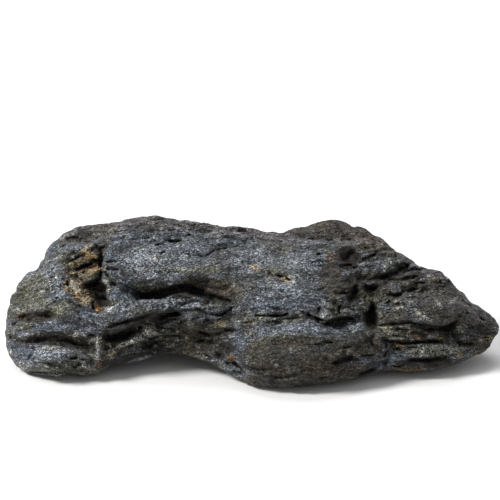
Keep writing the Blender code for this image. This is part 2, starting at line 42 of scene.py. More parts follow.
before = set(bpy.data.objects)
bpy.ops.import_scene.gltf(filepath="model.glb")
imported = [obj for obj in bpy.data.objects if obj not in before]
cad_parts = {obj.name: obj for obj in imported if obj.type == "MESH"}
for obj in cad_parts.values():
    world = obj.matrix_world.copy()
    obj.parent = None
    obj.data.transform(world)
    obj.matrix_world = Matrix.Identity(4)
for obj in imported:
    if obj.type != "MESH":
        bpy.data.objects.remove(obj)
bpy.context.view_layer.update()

NODE = "viewing_stone"
MM = 0.001
DISPLAY_TILT = math.radians(20)
FRONT_SETBACK = 43.9
LEAN, UPRIGHT = math.sin(DISPLAY_TILT), math.cos(DISPLAY_TILT)

# How far a surface must face the viewer: from the first figure it takes part, from the second in full
SHOWN_TO_FRONT = -0.05, 0.2
SHOWN_TO_BACK = 0.0, 0.3
EDGES_SHOWN = -0.5, -0.2
PAINT_SHOWN = -0.35, 0.1

# Fills work in full down to the first depth, and leave alone what lies deeper than the second
FILL_REACH = 14, 24

# Cracks up to this width come and go in full, wider ones by less, and ledges by their own share
UNEVEN_WIDTH = 1.4
UNEVEN_LEDGES = 0.7

# How much the layers behind the show face fall towards the back
BEDS_FALL_BACK = 0.18

# Noise in the skin: the sizes of its waves along the stone, through it and across its layers, and its shift
BENDS = (40, 40, 40), (0, 0, 0)
LENSES = (12, 10, 3.6), (7, 0, 0)
SMALL_LENSES = (5.2, 4.4, 1.8), (3, 0, 5)
SHINGLE_BENDS = (13, 11, 7), (0, 0, 40)
SHINGLE_PLACES = (17, 17, 9), (31, 0, 0)
GRAINS = (1.9, 1.7, 1.1), (0, 0, 15)
SWELLS = (11, 11, 7), (50, 0, 0)

# How deep each kind of it is, and what lenses and shingles come to on average
BEND_DEPTH, LENS_DEPTH, SMALL_DEPTH, SHINGLE_DEPTH, GRAIN_DEPTH, SWELL_DEPTH = 2.5, 1.5, 1.1, 0.8, 0.36, 0.8
LENS_MEAN, SHINGLE_MEAN = 0.22, 0.3
SHINGLE_THICK = 2.1

# Rounds of smoothing that tell a near hollow, and after them a wide one
NEAR_ROUNDS, WIDE_ROUNDS = 8, 90

# The upper rim's foot along the stone. Its tone fades in above it, and only behind the front
RIM_X = -123, -95, -50, 0, 15, 40, 60, 80, 123
RIM_H = 60, 72, 78, 71, 68, 71, 66, 56, 22
RIM_FADES_IN = 0, 6
RIM_STARTS_AT = -85, -25

# The stage, in metres. The sensor is in millimetres
FLOOR_HALF = 12
STONE_MIDDLE = 0, 0, 0.03
KEY_PLACE = -0.9, -0.3, 0.85
TOP_PLACE = -0.1, 0.6, 1.15
TOP_SIZE, TOP_SHARE = 1.1, 0.45
AIM = -0.001, 0.068
OUTLINE_DEPTH = 0.036
SENSOR = 36


# Ways of looking at the stone


def smooth_step(low, high, value):
    t = np.clip((np.asarray(value, float) - low) / (high - low), 0, 1)
    return t * t * (3 - 2 * t)


class Side:
    """One way of looking at the stone: across and up are the drawing's axes, and out points to the viewer."""

    def __init__(self, across, up, out, origin, shown):
        self.across, self.up, self.out = (np.array(axis, float) for axis in (across, up, out))
        self.origin = np.array(origin, float)
        self.shown = shown

    def drawn(self, points):
        away = points - self.origin
        return np.column_stack((away @ self.across, away @ self.up))

    def depths(self, points):
        return (points - self.origin) @ self.out

    def facing(self, normals):
        return smooth_step(*self.shown, normals @ self.out)


FRONT = Side((1, 0, 0), (0, LEAN, UPRIGHT), (0, -UPRIGHT, LEAN), (0, -FRONT_SETBACK, 0), SHOWN_TO_FRONT)
BACK = Side((-1, 0, 0), (0, 0, 1), (0, 1, 0), (0, 0, 0), SHOWN_TO_BACK)


def smooth_line(points, steps=5):
    """A curve through the points (Catmull-Rom), as a finer list of points."""
    p = np.array(points, float)
    if len(p) < 3:
        return p
    p = np.vstack((2 * p[0] - p[1], p, 2 * p[-1] - p[-2]))
    t = np.linspace(0, 1, steps, endpoint=False)[:, None]
    spans = []
    for a, b, c, d in zip(p, p[1:], p[2:], p[3:]):
        spans.append(b + 0.5 * t * (c - a + t * (2 * a - 5 * b + 4 * c - d + t * (3 * (b - c) + d - a))))
    return np.vstack(spans + [p[-2]])


def nearest_on_line(points, line):
    """(signed distance, share of the way along) of 2D points to a line. Left of the line is positive."""
    best = np.full(len(points), np.inf)
    signed, share = np.zeros(len(points)), np.zeros(len(points))
    starts = np.concatenate(([0], np.cumsum(np.linalg.norm(np.diff(line, axis=0), axis=1))))
    for i, (a, b) in enumerate(zip(line, line[1:])):
        way = b - a
        t = np.clip((points - a) @ way / max(way @ way, 1e-9), 0, 1)
        off = points - (a + t[:, None] * way)
        distance = np.hypot(off[:, 0], off[:, 1])
        closer = distance < best
        side = np.where(way[0] * off[:, 1] - way[1] * off[:, 0] < 0, -1, 1)
        best[closer] = distance[closer]
        signed[closer] = (side * distance)[closer]
        share[closer] = ((starts[i] + t * (starts[i + 1] - starts[i])) / starts[-1])[closer]
    return signed, share


def tapered(share, fade):
    """0 at both ends of a line, and 1 between them."""
    return smooth_step(0, fade, share) * smooth_step(0, fade, 1 - share)


def chance(bed, part):
    """A number between -1 and 1 for each block, as if by chance, but the same in each run."""
    return np.modf(np.sin(bed * 12.9898 + part * 78.233) * 4375.85)[0]


# Tools. Each is a stroke on the drawing: it gives how far points move, (outwards, upwards), and its reach.
# Uneven is how much its depth comes and goes, from 0 to 1


class Groove:
    """A hollow along a line. Steep is the share of its width above the line, where the lip may droop."""

    edges_too = False

    def __init__(self, line, width, depth, droop=0.2, steep=0.66, fade=0.2):
        self.line, self.width, self.depth = smooth_line(line), width, depth
        self.droop, self.steep, self.fade = droop, steep, fade
        self.uneven = min(1, UNEVEN_WIDTH / width)
        self.reach = 2.4 * width

    def move(self, points, depths):
        signed, share = nearest_on_line(points, self.line)
        ends = tapered(share, self.fade)
        above, below = 2 * self.width * self.steep, 2 * self.width * (1 - self.steep)
        inside = np.clip(1 - np.where(signed > 0, signed / above, -signed / below), 0, 1)
        lip = np.exp(-(((signed - above) / (0.6 * self.width)) ** 2)) * (signed > -below)
        return -self.depth * ends * smooth_step(0, 1, inside), -self.droop * ends * lip


class Ledge:
    """A layer that ends along a line: it stands out on the upper side and thins away above it."""

    edges_too = False
    uneven = UNEVEN_LEDGES

    def __init__(self, line, height, run, edge=0.4, droop=0.0, fade=0.2):
        self.line, self.height, self.run = smooth_line(line), height, run
        self.edge, self.droop, self.fade = edge, droop, fade
        self.reach = 3.5 * run + 3 * edge

    def move(self, points, depths):
        signed, share = nearest_on_line(points, self.line)
        ends = tapered(share, self.fade)
        over = smooth_step(-self.edge, self.edge, signed) * np.exp(-np.clip(signed, 0, None) / self.run)
        near = np.exp(-((signed / (2.5 * self.edge)) ** 2))
        return self.height * ends * over, -self.droop * ends * near


class Lump:
    """A rounded swelling, or a hollow where the height is negative. The turn is in degrees."""

    edges_too = False
    uneven = 0

    def __init__(self, centre, radii, height, turn=0.0):
        self.line, self.radii, self.height, self.turn = np.array([centre], float), radii, height, turn
        self.reach = max(radii)

    def inside(self, points):
        """1 at the centre, and 0 from the ellipse outwards."""
        c, s = math.cos(math.radians(self.turn)), math.sin(math.radians(self.turn))
        off = points - self.line[0]
        along = (off[:, 0] * c + off[:, 1] * s) / self.radii[0]
        across = (off[:, 1] * c - off[:, 0] * s) / self.radii[1]
        return np.clip(1 - along ** 2 - across ** 2, 0, 1)

    def move(self, points, depths):
        return self.height * self.inside(points) ** 1.5, np.zeros(len(points))


class Chip(Lump):
    """A broken-out pit with a nearly flat floor and a steep rim. A negative depth makes it a block."""

    def __init__(self, centre, radii, depth, turn=0.0, rim=0.4):
        super().__init__(centre, radii, -depth, turn)
        self.rim = rim

    def move(self, points, depths):
        return self.height * smooth_step(0, self.rim, self.inside(points)), np.zeros(len(points))


class Fill(Lump):
    """Brings whatever lies deeper out to a level, which gains by slope to the right. It moves edges as well.

    It leaves what lies far behind the level alone, because that is another side of the stone.
    """

    edges_too = True

    def __init__(self, centre, radii, level, turn=0.0, slope=0.0):
        super().__init__(centre, radii, level, turn)
        self.slope = slope

    def move(self, points, depths):
        level = self.height + self.slope * (points[:, 0] - self.line[0, 0])
        lift = np.clip(level - depths, 0, None)
        lift *= 1 - smooth_step(*FILL_REACH, lift)
        return lift * smooth_step(0, 0.6, self.inside(points)), np.zeros(len(points))


class Beds(Lump):
    """Broken layers that rise by slope, in degrees. Each is split into blocks that stand out or back."""

    def __init__(self, centre, radii, height, thick, slope=0.0, block=8.0):
        super().__init__(centre, radii, height, slope)
        self.thick, self.block = thick, block

    def move(self, points, depths):
        c, s = math.cos(math.radians(self.turn)), math.sin(math.radians(self.turn))
        run = points[:, 0] * c + points[:, 1] * s
        rise = points[:, 1] * c - points[:, 0] * s
        bed = np.floor((rise + 0.9 * np.sin(run / 7.0) + 0.5 * np.sin(run / 2.9 + 2)) / self.thick)
        part = np.floor((run + 1.2 * np.sin(rise / 1.7)) / self.block + 0.61 * bed)
        out = chance(bed, part) * smooth_step(0, 0.5, self.inside(points))
        return self.height * out, np.zeros(len(points))


# The strokes of the show face in turn: wide fills and broken layers first, then the forms of each place
SHOW_FACE = [
    Fill((-44, 41), (17, 3.7), -4),
    Fill((-53, 41.3), (7, 2.5), -4, -6),
    Fill((-13, 32.5), (9, 7), -1, 0, 0.4),
    Fill((-14, 22), (12, 11), -4.4, 0, 0.75),
    Fill((-19, 48), (12, 5), -5, -14, 0.4),
    Fill((-34, 44), (10, 3.2), -4, 2),
    Fill((-24.5, 43.2), (5, 2.2), -3.6, -20),
    Fill((-82, 47), (4.5, 2.5), -5.4, -14),
    Fill((-72, 20.5), (3.5, 3), -4, 30),
    Fill((63.5, 20), (5, 8.5), -1.8, 8, -0.8),
    Fill((-8.5, 40), (4.5, 4), 0.4, 0, 0.3),
    Fill((-85, 61), (13, 12), -7, 14, -0.12),
    Beds((-36, 24), (30, 11), 0.8, 1.5, 12, 2.6),
    Beds((79, 52), (31, 14), 1.1, 2, 17, 5),
    Beds((46.5, 40.5), (13, 10), 1.1, 1.8, -8, 3),
    Beds((86.5, 23), (29, 9), 0.9, 1.6, 2, 6),
    Beds((-83, 59), (10, 12), 1.3, 2, 9, 4),
    Beds((-96, 62), (30, 15), 0.5, 2.1, 24, 7),
    Beds((-100, 15), (26, 9), 0.6, 2.1, -4, 6),
    Beds((26.5, 12), (42.5, 13), 0.4, 1.6, 4, 10),
    Beds((-31, 76), (55, 8), 0.7, 1.8, -2),
    Beds((39, 75.5), (30, 6), 0.6, 1.8, -6, 7),
    # The long hollow under the nose, and the bar below it
    Groove([(-57.5, 46.5), (-54.5, 45.3), (-51, 45.5), (-46, 46.8), (-41, 48.2), (-36, 49.3), (-31, 49.6),
            (-27, 48.7), (-23, 46.8)], 2.4, 5, 0.6, 0.64, 0.1),
    Groove([(-29, 48), (-25.5, 46.7), (-22, 45.3), (-18.5, 44.2), (-15, 43.5), (-11.5, 42.3),
            (-8, 40.6)], 1.69, 3.2, 0.6, 0.8, 0.12),
    Groove([(-64, 51.5), (-61, 49.7), (-57.5, 48)], 0.91, 1.4, 0.4, 0.72),
    Groove([(-65.5, 52.8), (-63, 53), (-60.5, 52.8)], 0.91, 1.6),
    Ledge([(-9.5, 40.5), (-14, 42.2), (-19, 42.7), (-23, 43.8), (-27, 46), (-31.5, 47.2), (-35.5, 46.7),
           (-39.5, 45.7), (-43.5, 44.6), (-47.5, 43.8), (-52, 43.2), (-56, 44)], 5, 3, 0.35, 0, 0.16),
    Lump((-43.5, 62), (21, 8), 1.2, -4),
    Lump((-56, 61.5), (7, 4.5), 0.9, 20),
    Lump((-42.5, 61), (5, 2), 0.8, 40),
    Groove([(-58, 56), (-49.5, 57.2), (-39, 57), (-31, 57.5)], 0.91, 1, 0.3, 0.62, 0.3),
    Lump((-10, 62), (11, 3.5), 0.9, 12),
    # The dark recess under the bar, and the rib that crosses it
    Ledge([(-75, 30), (-69, 32.2), (-60, 35.2), (-52, 37), (-44.5, 39), (-38.5, 40), (-30.5, 39.8),
           (-26.5, 38.8), (-22.5, 36.5), (-17.5, 36.5), (-12.5, 37.8), (-8, 40)], 1.8, 3, 0.4, 0.8, 0.08),
    Groove([(-72, 30.5), (-67, 31.5), (-61, 33), (-55, 34.5), (-49, 36)], 2.6, 2.4, 0.3),
    Groove([(-74, 24.5), (-70, 24), (-66, 24.5), (-62, 26), (-58, 28.2), (-54, 30.8),
            (-50, 33)], 3, 4.6, 0.5, 0.72, 0.12),
    Groove([(-47, 34), (-43.5, 35.5), (-39.5, 36.2), (-34.5, 37)], 2.6, 9, 0.3, 0.58),
    Fill((-36, 30), (11, 4), -12.4),
    Groove([(-52, 31.8), (-48.5, 31), (-45, 29.8), (-42, 29.5)], 0.91, 2.1, 0.3, 0.62),
    Lump((-59.5, 23.5), (14, 4.2), 5.4, 27),
    Lump((-50.8, 28.5), (4.5, 4), 6, 20),
    Ledge([(-47, 32), (-51, 30.5), (-54.5, 27.5), (-59, 25), (-64, 23),
           (-67.5, 21)], 1.2, 1.6, 0.3, 0, 0.15),
    Groove([(-68, 18.5), (-64.5, 18.8), (-61, 20), (-57.5, 21.5)], 1.17, 2.1, 0.4, 0.72),
    Lump((-61, 18.5), (4, 2), 1, 15),
    Groove([(-55, 22), (-51, 24), (-46, 25.5)], 1.04, 1.6),
    Groove([(-52, 19), (-49, 22), (-44, 22.5)], 1.17, 1.6),
    Ledge([(-76, 10), (-70, 13.2), (-62, 14.7), (-53, 16.5)], 1, 1.6),
    # The crumbling wall of the arch
    Groove([(-29, 39), (-25.5, 38.2), (-22.5, 36.2), (-19, 36.1), (-15.5, 35.8), (-12, 38.2),
            (-8, 40.7)], 1.43, 3, 0.5, 0.72, 0.1),
    Groove([(-18.5, 35.8), (-15, 36), (-12, 38)], 1.56, 2.3, 0.4, 0.72),
    Lump((-30, 35.2), (3, 2), 1.3, 10),
    Lump((-25, 32.8), (3.5, 2), 1.6, -6),
    Lump((-15.5, 32.5), (4.5, 2.3), 1.2, -4),
    Groove([(-14, 29), (-10.5, 28.7), (-7, 28.8)], 1.6, 3, 0.4, 0.5),
    Groove([(-18, 26.5), (-15, 27.3), (-11.5, 28)], 0.91, 1.8, 0.3),
    Groove([(-29.5, 29), (-26, 27.8), (-23, 26.2), (-19, 24.5)], 1.04, 2.1, 0.3),
    Groove([(-29.5, 22.2), (-25.5, 22.7), (-21.5, 22.2), (-17.5, 20.5)], 1.43, 2.8, 0.4),
    Lump((-11.5, 24.5), (5, 2.5), 1.3, 12),
    Lump((-17, 24.3), (2.3, 1.2), 1.1, 8),
    Lump((-24.5, 25.7), (3, 1), 1, 2),
    Lump((-23, 18.8), (5.5, 2.5), 1.4, -14),
    Groove([(-25, 16.8), (-22, 15.5), (-18.5, 13.7)], 0.91, 1.8),
    Groove([(-18, 20.7), (-14, 20.3), (-10, 18.7)], 1.6, 2, 0.5, 0.6, 0.3),
    Groove([(-13, 19), (-15.5, 16.5), (-17.5, 14.5)], 1.82, 1.4, 0, 0.5, 0.3),
    Lump((-15, 12.8), (4, 1.8), 1.4, -24),
    Groove([(-44, 29.5), (-40, 29), (-37, 27)], 0.91, 1.4),
    Groove([(-43, 25), (-39, 26), (-34.5, 24.5)], 0.91, 1.4),
    Groove([(-38, 21.5), (-34, 22.5), (-31, 20.5)], 0.91, 1.4),
    Lump((-40.5, 27.5), (2, 1.2), 0.8, 20),
    Lump((-35.5, 26.5), (2.5, 1.5), 0.9),
    Lump((-32.5, 20.5), (2.5, 1.2), 0.8),
    # Left end of the front lobe, down to its foot
    Lump((-14, 41.5), (6, 3), 1.2),
    Lump((-10.5, 15.2), (2.5, 2), 2),
    Groove([(-9.2, 13.5), (-7, 11), (-5, 9), (-2.5, 7)], 1.04, 3, 0, 0.5, 0.12),
    Lump((-4.5, 10), (3.5, 0.9), 1.1, -42),
    # The left foot: its long hollow, the pale swelling under it and the small hollow above
    Groove([(-112, 22), (-107, 22.7), (-102, 23.2), (-97, 22.8), (-92, 22.7), (-87, 21.8), (-82, 20.8),
            (-77, 20), (-74, 19.5)], 3.8, 3.2, 0.5, 0.88, 0.16),
    Ledge([(-117, 25), (-112.5, 24.7), (-106.5, 25)], 1.5, 1.3, 0.35, 0.3),
    Lump((-111, 26), (6, 1.5), 1.8, -2),
    Groove([(-122, 24.8), (-118, 24), (-113.5, 22.5), (-109.5, 22)], 1.17, 1.7, 0.3),
    Groove([(-123, 22.5), (-119.5, 20)], 0.78, 1.4, 0, 0.5),
    Lump((-99.5, 17), (9.5, 5.2), 2.6),
    Ledge([(-95, 18), (-98, 15), (-103, 16), (-106, 19)], 0.8, 1.6),
    Lump((-103, 18.5), (2.5, 2), 0.9, -30),
    Lump((-96.5, 19.8), (3, 1.3), 0.8, 8),
    Groove([(-107.5, 18.5), (-109.5, 15.5), (-112, 12.5)], 1.43, 1.8, 0, 0.4),
    Groove([(-92, 17), (-89, 15), (-85, 15.2)], 1.6, 3, 0.4, 0.5),
    Groove([(-121, 14.5), (-116.5, 14.5), (-112, 12.5)], 0.91, 1.5),
    Groove([(-90, 12), (-87.5, 10.3), (-85, 12)], 1.17, 1.8),
    Groove([(-85, 13.5), (-81.5, 13.7), (-77, 13.2)], 0.91, 1.5, 0.3),
    Groove([(-109, 12.2), (-103, 12.3), (-97, 11.5)], 0.91, 1.4, 0.3),
    Groove([(-112, 7.7), (-104, 7.2), (-95, 7.2), (-88, 7.7)], 0.91, 1.4, 0.3),
    Lump((-81, 10.5), (4.5, 2), 0.8, -4),
    Ledge([(-97, 33.8), (-103, 32.7), (-109, 33), (-113, 33.1), (-117, 32.7)], 1.2, 1.4),
    Groove([(-117, 33), (-112.5, 33.5), (-108.5, 33.8), (-103.5, 34.5), (-99.5, 35.5),
            (-95, 36.7)], 3, 4.4, 0.5, 0.8, 0.25),
    Lump((-115, 37.2), (4.5, 2.3), 1.3, 24),
    Groove([(-103.5, 32.2), (-101.5, 32.5), (-99.5, 33)], 0.78, 1.4, 0, 0.5),
    Groove([(-119, 30.3), (-117, 31.2)], 0.91, 1.6, 0, 0.5),
    Lump((-112, 30), (5, 2), 0.8, 20),
    Lump((-103, 29.2), (7, 2), 0.9, 3),
    Lump((-79.2, 23.5), (3, 1.2), 1.2, -8),
    Groove([(-81.5, 25.5), (-79, 26), (-76.5, 25)], 1.3, 2.5, 0.3),
    Lump((-76, 21), (1.5, 5), 1.5, 2),
    Lump((-76.5, 16.5), (2.5, 3), 1.2),
    Chip((-72.5, 20), (2.5, 1.7), 2, -20, 0.6),
    Lump((-70, 16.5), (2.5, 2), 2, 40),
    Ledge([(-76, 9.2), (-72, 12), (-69, 13.2)], 0.8, 1.2, 0.4, 0.3),
    # The pocket: its layers, its blocks and its deep holes
    Groove([(-79.5, 69.5), (-77, 69.2), (-74.5, 68.7), (-72.5, 68.5)], 1.9, 4.6, 0.4, 0.6),
    Lump((-80.5, 69.5), (2.8, 1.5), 1.8, 22),
    Groove([(-74.5, 69.5), (-75, 66), (-74.7, 62), (-75, 58)], 1.17, 4.4, 0, 0.5),
    Lump((-78.5, 65.7), (6.5, 3.2), 1.8, -6),
    Ledge([(-95, 62.5), (-91, 63.5), (-87.5, 64.5), (-84, 66.2), (-80, 67.5)], 1, 1.4, 0.35, 0.2, 0.15),
    Groove([(-88, 63), (-84.5, 64.7), (-81.5, 66)], 0.91, 2.1),
    Groove([(-93, 60.5), (-89.5, 62), (-86, 63.7)], 0.78, 1.4),
    Groove([(-79, 63.2), (-77, 62.7), (-75, 62.5)], 1.04, 2.8, 0.3, 0.72),
    Lump((-82.5, 63), (4, 2), 1.2, 12),
    Lump((-85.5, 60.8), (7.5, 2.7), 1.3, 12),
    Groove([(-87.5, 57.5), (-85, 58.7), (-82.5, 59.7), (-80.5, 60.8), (-78.5, 62),
            (-76.5, 62.5)], 1.43, 4.1, 0.4, 0.72, 0.1),
    Ledge([(-92.5, 57), (-90, 59), (-87, 60.5)], 0.9, 1.2, 0.3, 0.2),
    Lump((-78.5, 58.1), (5.5, 2.3), 2, 6),
    Lump((-83, 54.7), (10, 5.2), 2.4, 4),
    Lump((-89.5, 55), (4, 3), 1.2, 30),
    Groove([(-74.5, 58), (-75.5, 54.5), (-76.5, 51.5)], 1.82, 3.9, 0, 0.4),
    Groove([(-84, 48.7), (-82, 50.5), (-79, 51.4), (-75.5, 52.3)], 1.95, 4.8, 0.3, 0.72, 0.1),
    Lump((-74.8, 45.5), (4, 4), -4.6, -36),
    Lump((-87, 50), (7, 5), 2.6, -8),
    Lump((-88, 51), (2.5, 2), 0.8),
    Lump((-85, 49.3), (2.5, 2.5), 0.8, 30),
    Lump((-81, 48), (3, 2), 2),
    Lump((-84.8, 46), (3.5, 2), 1.4, 20),
    Lump((-82, 44), (4.5, 2.7), 1.6, -10),
    Lump((-80, 41.8), (3.5, 1.9), 1.2),
    Lump((-86.5, 42.7), (2.3, 1.1), 0.9),
    Groove([(-90.7, 54.5), (-90.8, 51.5), (-89.5, 48.2), (-86.5, 47.2)], 1.17, 2.8, 0, 0.5),
    Lump((-73.5, 41.7), (8, 4.5), -2.8, -14),
    Lump((-76.2, 41.7), (1.8, 2.2), 2),
    Lump((-76.1, 39), (2, 1.7), 1.8),
    Groove([(-78.2, 43.5), (-78.5, 41), (-77.7, 38.2)], 1.04, 2.3, 0, 0.5),
    Lump((-72.7, 62), (1.5, 7), 0.8),
    Groove([(-74.5, 44.5), (-71, 42.8), (-69, 41)], 1.3, 2.8),
    Groove([(-73.5, 57.5), (-72, 56.2), (-70.5, 54.5)], 1.3, 2.3),
    Groove([(-73, 61.6), (-69.5, 62), (-66, 62)], 1.17, 2, 0.3),
    Groove([(-72.5, 58.3), (-69, 58.3), (-65, 58)], 1.3, 2.3, 0.3),
    Groove([(-69.8, 52), (-68.5, 50.5), (-66.5, 50.5)], 1.56, 2.8),
    Lump((-65.5, 52.5), (2.5, 1.2), 0.8, 10),
    # The left mass
    Chip((-88.5, 73.8), (4, 0.9), 1.5, 10),
    Groove([(-96, 64), (-92, 66.5), (-88, 69)], 0.78, 1.1),
    Groove([(-98, 67), (-93, 70), (-87, 72.2)], 0.91, 1.1),
    Groove([(-104, 59), (-100, 61.5), (-95.5, 63)], 0.78, 1),
    Groove([(-111, 52), (-106, 54.5), (-100, 56)], 0.91, 1),
    Groove([(-108, 47.5), (-103, 48.5), (-98, 47.5)], 1.04, 1.4, 0.3),
    Groove([(-114, 43), (-107, 45), (-101, 44.5)], 0.78, 1),
    Groove([(-99, 41.5), (-94, 43), (-88, 41.5), (-82, 40)], 0.91, 1),
    Chip((-95.8, 44.2), (1.1, 0.8), 1.4, 10),
    Groove([(-87, 37), (-82, 38.5), (-77, 37)], 0.78, 0.9),
    Ledge([(-78.5, 35), (-73, 37), (-67, 40), (-61, 42)], 0.5, 1.6, 0.5, 0.2),
    # The crack over the front lobe
    Groove([(1, 35.7), (5, 35.5), (9.5, 35.3), (14.5, 35.5), (19.5, 36.5)], 1.17, 3, 0.6, 0.74, 0.08),
    Groove([(23.5, 37.5), (27, 36.2), (30.5, 34.5), (33.5, 33.5), (37.5, 32.7)], 1.43, 3.4, 0.6, 0.72, 0.1),
    Groove([(31, 33), (33.5, 31.9), (37, 31.4)], 0.91, 2.3, 0.3),
    Ledge([(31, 32.2), (23, 33.7), (13, 33.6), (3, 34.1)], 0.7, 1.4),
    Groove([(7, 35.5), (11, 35.5), (15, 36), (19, 36.5)], 1.7, 2.6, 0.5, 0.6, 0.15),
    Groove([(26, 36.2), (29, 34.7), (32.5, 33.6), (36, 32.8)], 1.56, 1.8, 0.3),
    Groove([(35, 31.7), (38.5, 32.5), (42, 33.7), (45.5, 34.7), (48.5, 34.3),
            (52, 33.3)], 1.9, 4, 0.4, 0.56, 0.12),
    Groove([(8, 39.5), (14, 39), (20, 39)], 1.04, 1, 0.3, 0.67, 0.3),
    # The knot of small crystals
    Groove([(35, 39.8), (32.8, 38.7), (32.5, 36)], 1.17, 2.8, 0, 0.5),
    Lump((37, 41.2), (4.5, 1.7), 2.6, -46),
    Lump((36.5, 36), (4.5, 3.5), 3, 10),
    Lump((41, 37), (1.7, 2), 1.6),
    Lump((46.5, 37.5), (4.5, 3), 2.4, -14),
    Lump((44.5, 43.2), (4.5, 3.5), 2.6),
    Lump((53.5, 41.5), (6, 3.5), 2.6, 8),
    Lump((52, 37.5), (3, 1.5), 1.2, 4),
    Groove([(42.8, 41.5), (43, 39), (43.2, 36)], 1.17, 2.5, 0, 0.5),
    Groove([(40.8, 46), (43.5, 46.7), (47.5, 46.5)], 1.17, 2.8, 0.3),
    Groove([(48, 41.5), (49.5, 44.5), (51, 47.5), (52.5, 51)], 1.8, 4.4, 0, 0.5, 0.15),
    Lump((44.5, 49.7), (4, 3), 1.2),
    Groove([(34.5, 43.5), (37, 44)], 0.78, 1.4, 0, 0.5),
    # The broken saddle
    Lump((53, 49), (2.5, 1.2), 1.3, 24),
    Groove([(55, 50), (58.5, 48.8), (62.5, 48.5)], 2, 5, 0.3, 0.6),
    Lump((61.5, 51.7), (6, 2.5), 2.6, 8),
    Groove([(52, 53.5), (54.5, 54.2), (57, 54.1)], 1.43, 2.8),
    Lump((65, 46), (4, 1.5), 0.9, 20),
    Groove([(60, 41.7), (59.7, 39.5), (59.2, 37)], 1.69, 4.1, 0, 0.5),
    Groove([(60.5, 41), (59.8, 38.5), (58.8, 35.5), (57.8, 33)], 1.9, 4.6, 0, 0.5),
    Groove([(56, 33.5), (58.5, 32.7), (61.5, 32)], 1.8, 4, 0.3, 0.6),
    Lump((54.5, 34.5), (2, 2), 1),
    Lump((67, 41.5), (5, 3), 1, 8),
    Groove([(62.5, 53.2), (66, 54.5), (69.5, 55.7), (72.5, 57.2), (75.5, 59.2),
            (79, 61)], 2.2, 5, 0.5, 0.6, 0.12),
    Groove([(74, 56.2), (77.5, 57.5), (81, 58)], 1.43, 3.2, 0.4, 0.72),
    Lump((81.5, 59.5), (3.5, 1.8), 1.4, -4),
    Ledge([(61.5, 54.7), (65, 56.3), (68.5, 57.7), (71.5, 59.2), (74, 61.2)], 1.2, 3, 0.4, 0.4),
    Groove([(74, 53), (76.5, 54.2), (80, 54), (82, 55.5)], 1.3, 2.5, 0.4),
    Lump((78.5, 55.5), (5, 2), 2, 14),
    Groove([(67, 52.7), (70, 53.2), (73.5, 52.8)], 1.04, 1.8, 0.3),
    Lump((71, 49.5), (6.5, 3.5), 2.2, 6),
    Groove([(67, 46), (70.5, 45.2), (74, 46), (76.5, 47.5)], 1.56, 3.7, 0.4),
    Groove([(77, 47), (79.5, 48.2), (83, 49.5)], 1.95, 3.9, 0.4),
    Groove([(79.5, 50), (81.5, 51.5), (84.5, 51.8), (88, 51)], 0.91, 1.6, 0.3),
    Groove([(81, 53), (84.5, 54.5), (88, 55.5)], 0.91, 1.6, 0.3),
    Groove([(52, 61), (56, 63.5), (60, 65.7), (64, 68)], 1.56, 3.4, 0.4),
    Groove([(55, 69), (58, 69.5), (63, 71.5)], 0.91, 1.4, 0.3),
    Lump((48, 65), (7.5, 5.5), -2.6, -20),
    Groove([(44, 62.5), (47, 64), (49, 66.5), (52, 67)], 1.3, 2.3, 0.3),
    Lump((52.5, 64.5), (2, 3.5), -1.8, -20),
    Groove([(44, 58.7), (46, 60.1), (48.5, 60.2), (51.5, 59), (53.5, 61)], 1.3, 3, 0.2, 0.67, 0.15),
    Lump((47.5, 61.2), (3, 0.8), 1.2, 4),
    Groove([(32, 65.5), (34, 65.8), (36, 66.3)], 1.17, 2.5, 0.3),
    Groove([(38, 69.5), (42, 71.2), (47, 71)], 0.91, 1.4, 0.3),
    Lump((-69.5, 27.5), (3, 1.5), 1.4, 20),
    Lump((-62.5, 30.2), (3, 1.5), 1.3, 22),
    Lump((-66, 24), (3, 1.3), 1.2, 20),
    Lump((-58, 28.5), (3, 1.3), 1.2, 26),
    Groove([(-72.5, 29), (-67.5, 30.5), (-62.5, 32.7), (-56.5, 34.7)], 1.04, 1.6, 0.3),
    Groove([(-73.5, 25.2), (-68, 26.2), (-62.5, 28.2), (-57, 31.5)], 1.17, 1.8, 0.3),
    Lump((62.5, 59.8), (12.5, 4.5), 2.6, 17),
    Groove([(62, 62), (66, 63.5), (70, 66)], 0.65, 0.9),
    Groove([(91, 48), (94, 49.5), (97.5, 49)], 0.78, 1.1, 0.3),
    Groove([(65, 36), (70, 37.5), (75, 36)], 0.65, 1.1),
    Groove([(63, 44.5), (66, 46), (68.5, 45)], 0.78, 1.4),
    Lump((86.5, 40.5), (17, 6), 0.8, -6),
    Lump((85, 36.2), (6, 1.5), 1.2, -12),
    # The layers under the cheek
    Ledge([(60, 31.5), (68, 32.2), (76, 33), (84, 33.5), (92, 32.2), (97, 32.5),
           (102.5, 35)], 1.5, 2.6, 0.4, 0.9, 0.08),
    Groove([(62, 34), (67, 34.5), (72, 33.5)], 0.78, 1.4, 0.3),
    Groove([(61, 30.5), (68, 31), (75, 31.7), (82, 31.8), (89, 30.5), (96, 31), (100.5, 33),
            (103.5, 36)], 1.95, 3.2, 0.6, 0.72, 0.08),
    Groove([(78, 31), (84, 30.2), (91, 29.2), (97, 29.2), (101, 31)], 2, 3, 0.5, 0.55, 0.15),
    Groove([(94, 28.5), (97, 27.7), (100, 28.5)], 1.3, 2.3),
    Groove([(102, 31.5), (106, 31.2), (110, 30.5)], 0.78, 1.4, 0.3),
    Lump((67.5, 28.2), (3.5, 1.7), 1.5, 2),
    Lump((74.5, 27), (4.5, 1.2), 1.2, 6),
    Lump((82, 25.7), (3, 1.2), 1.1, -20),
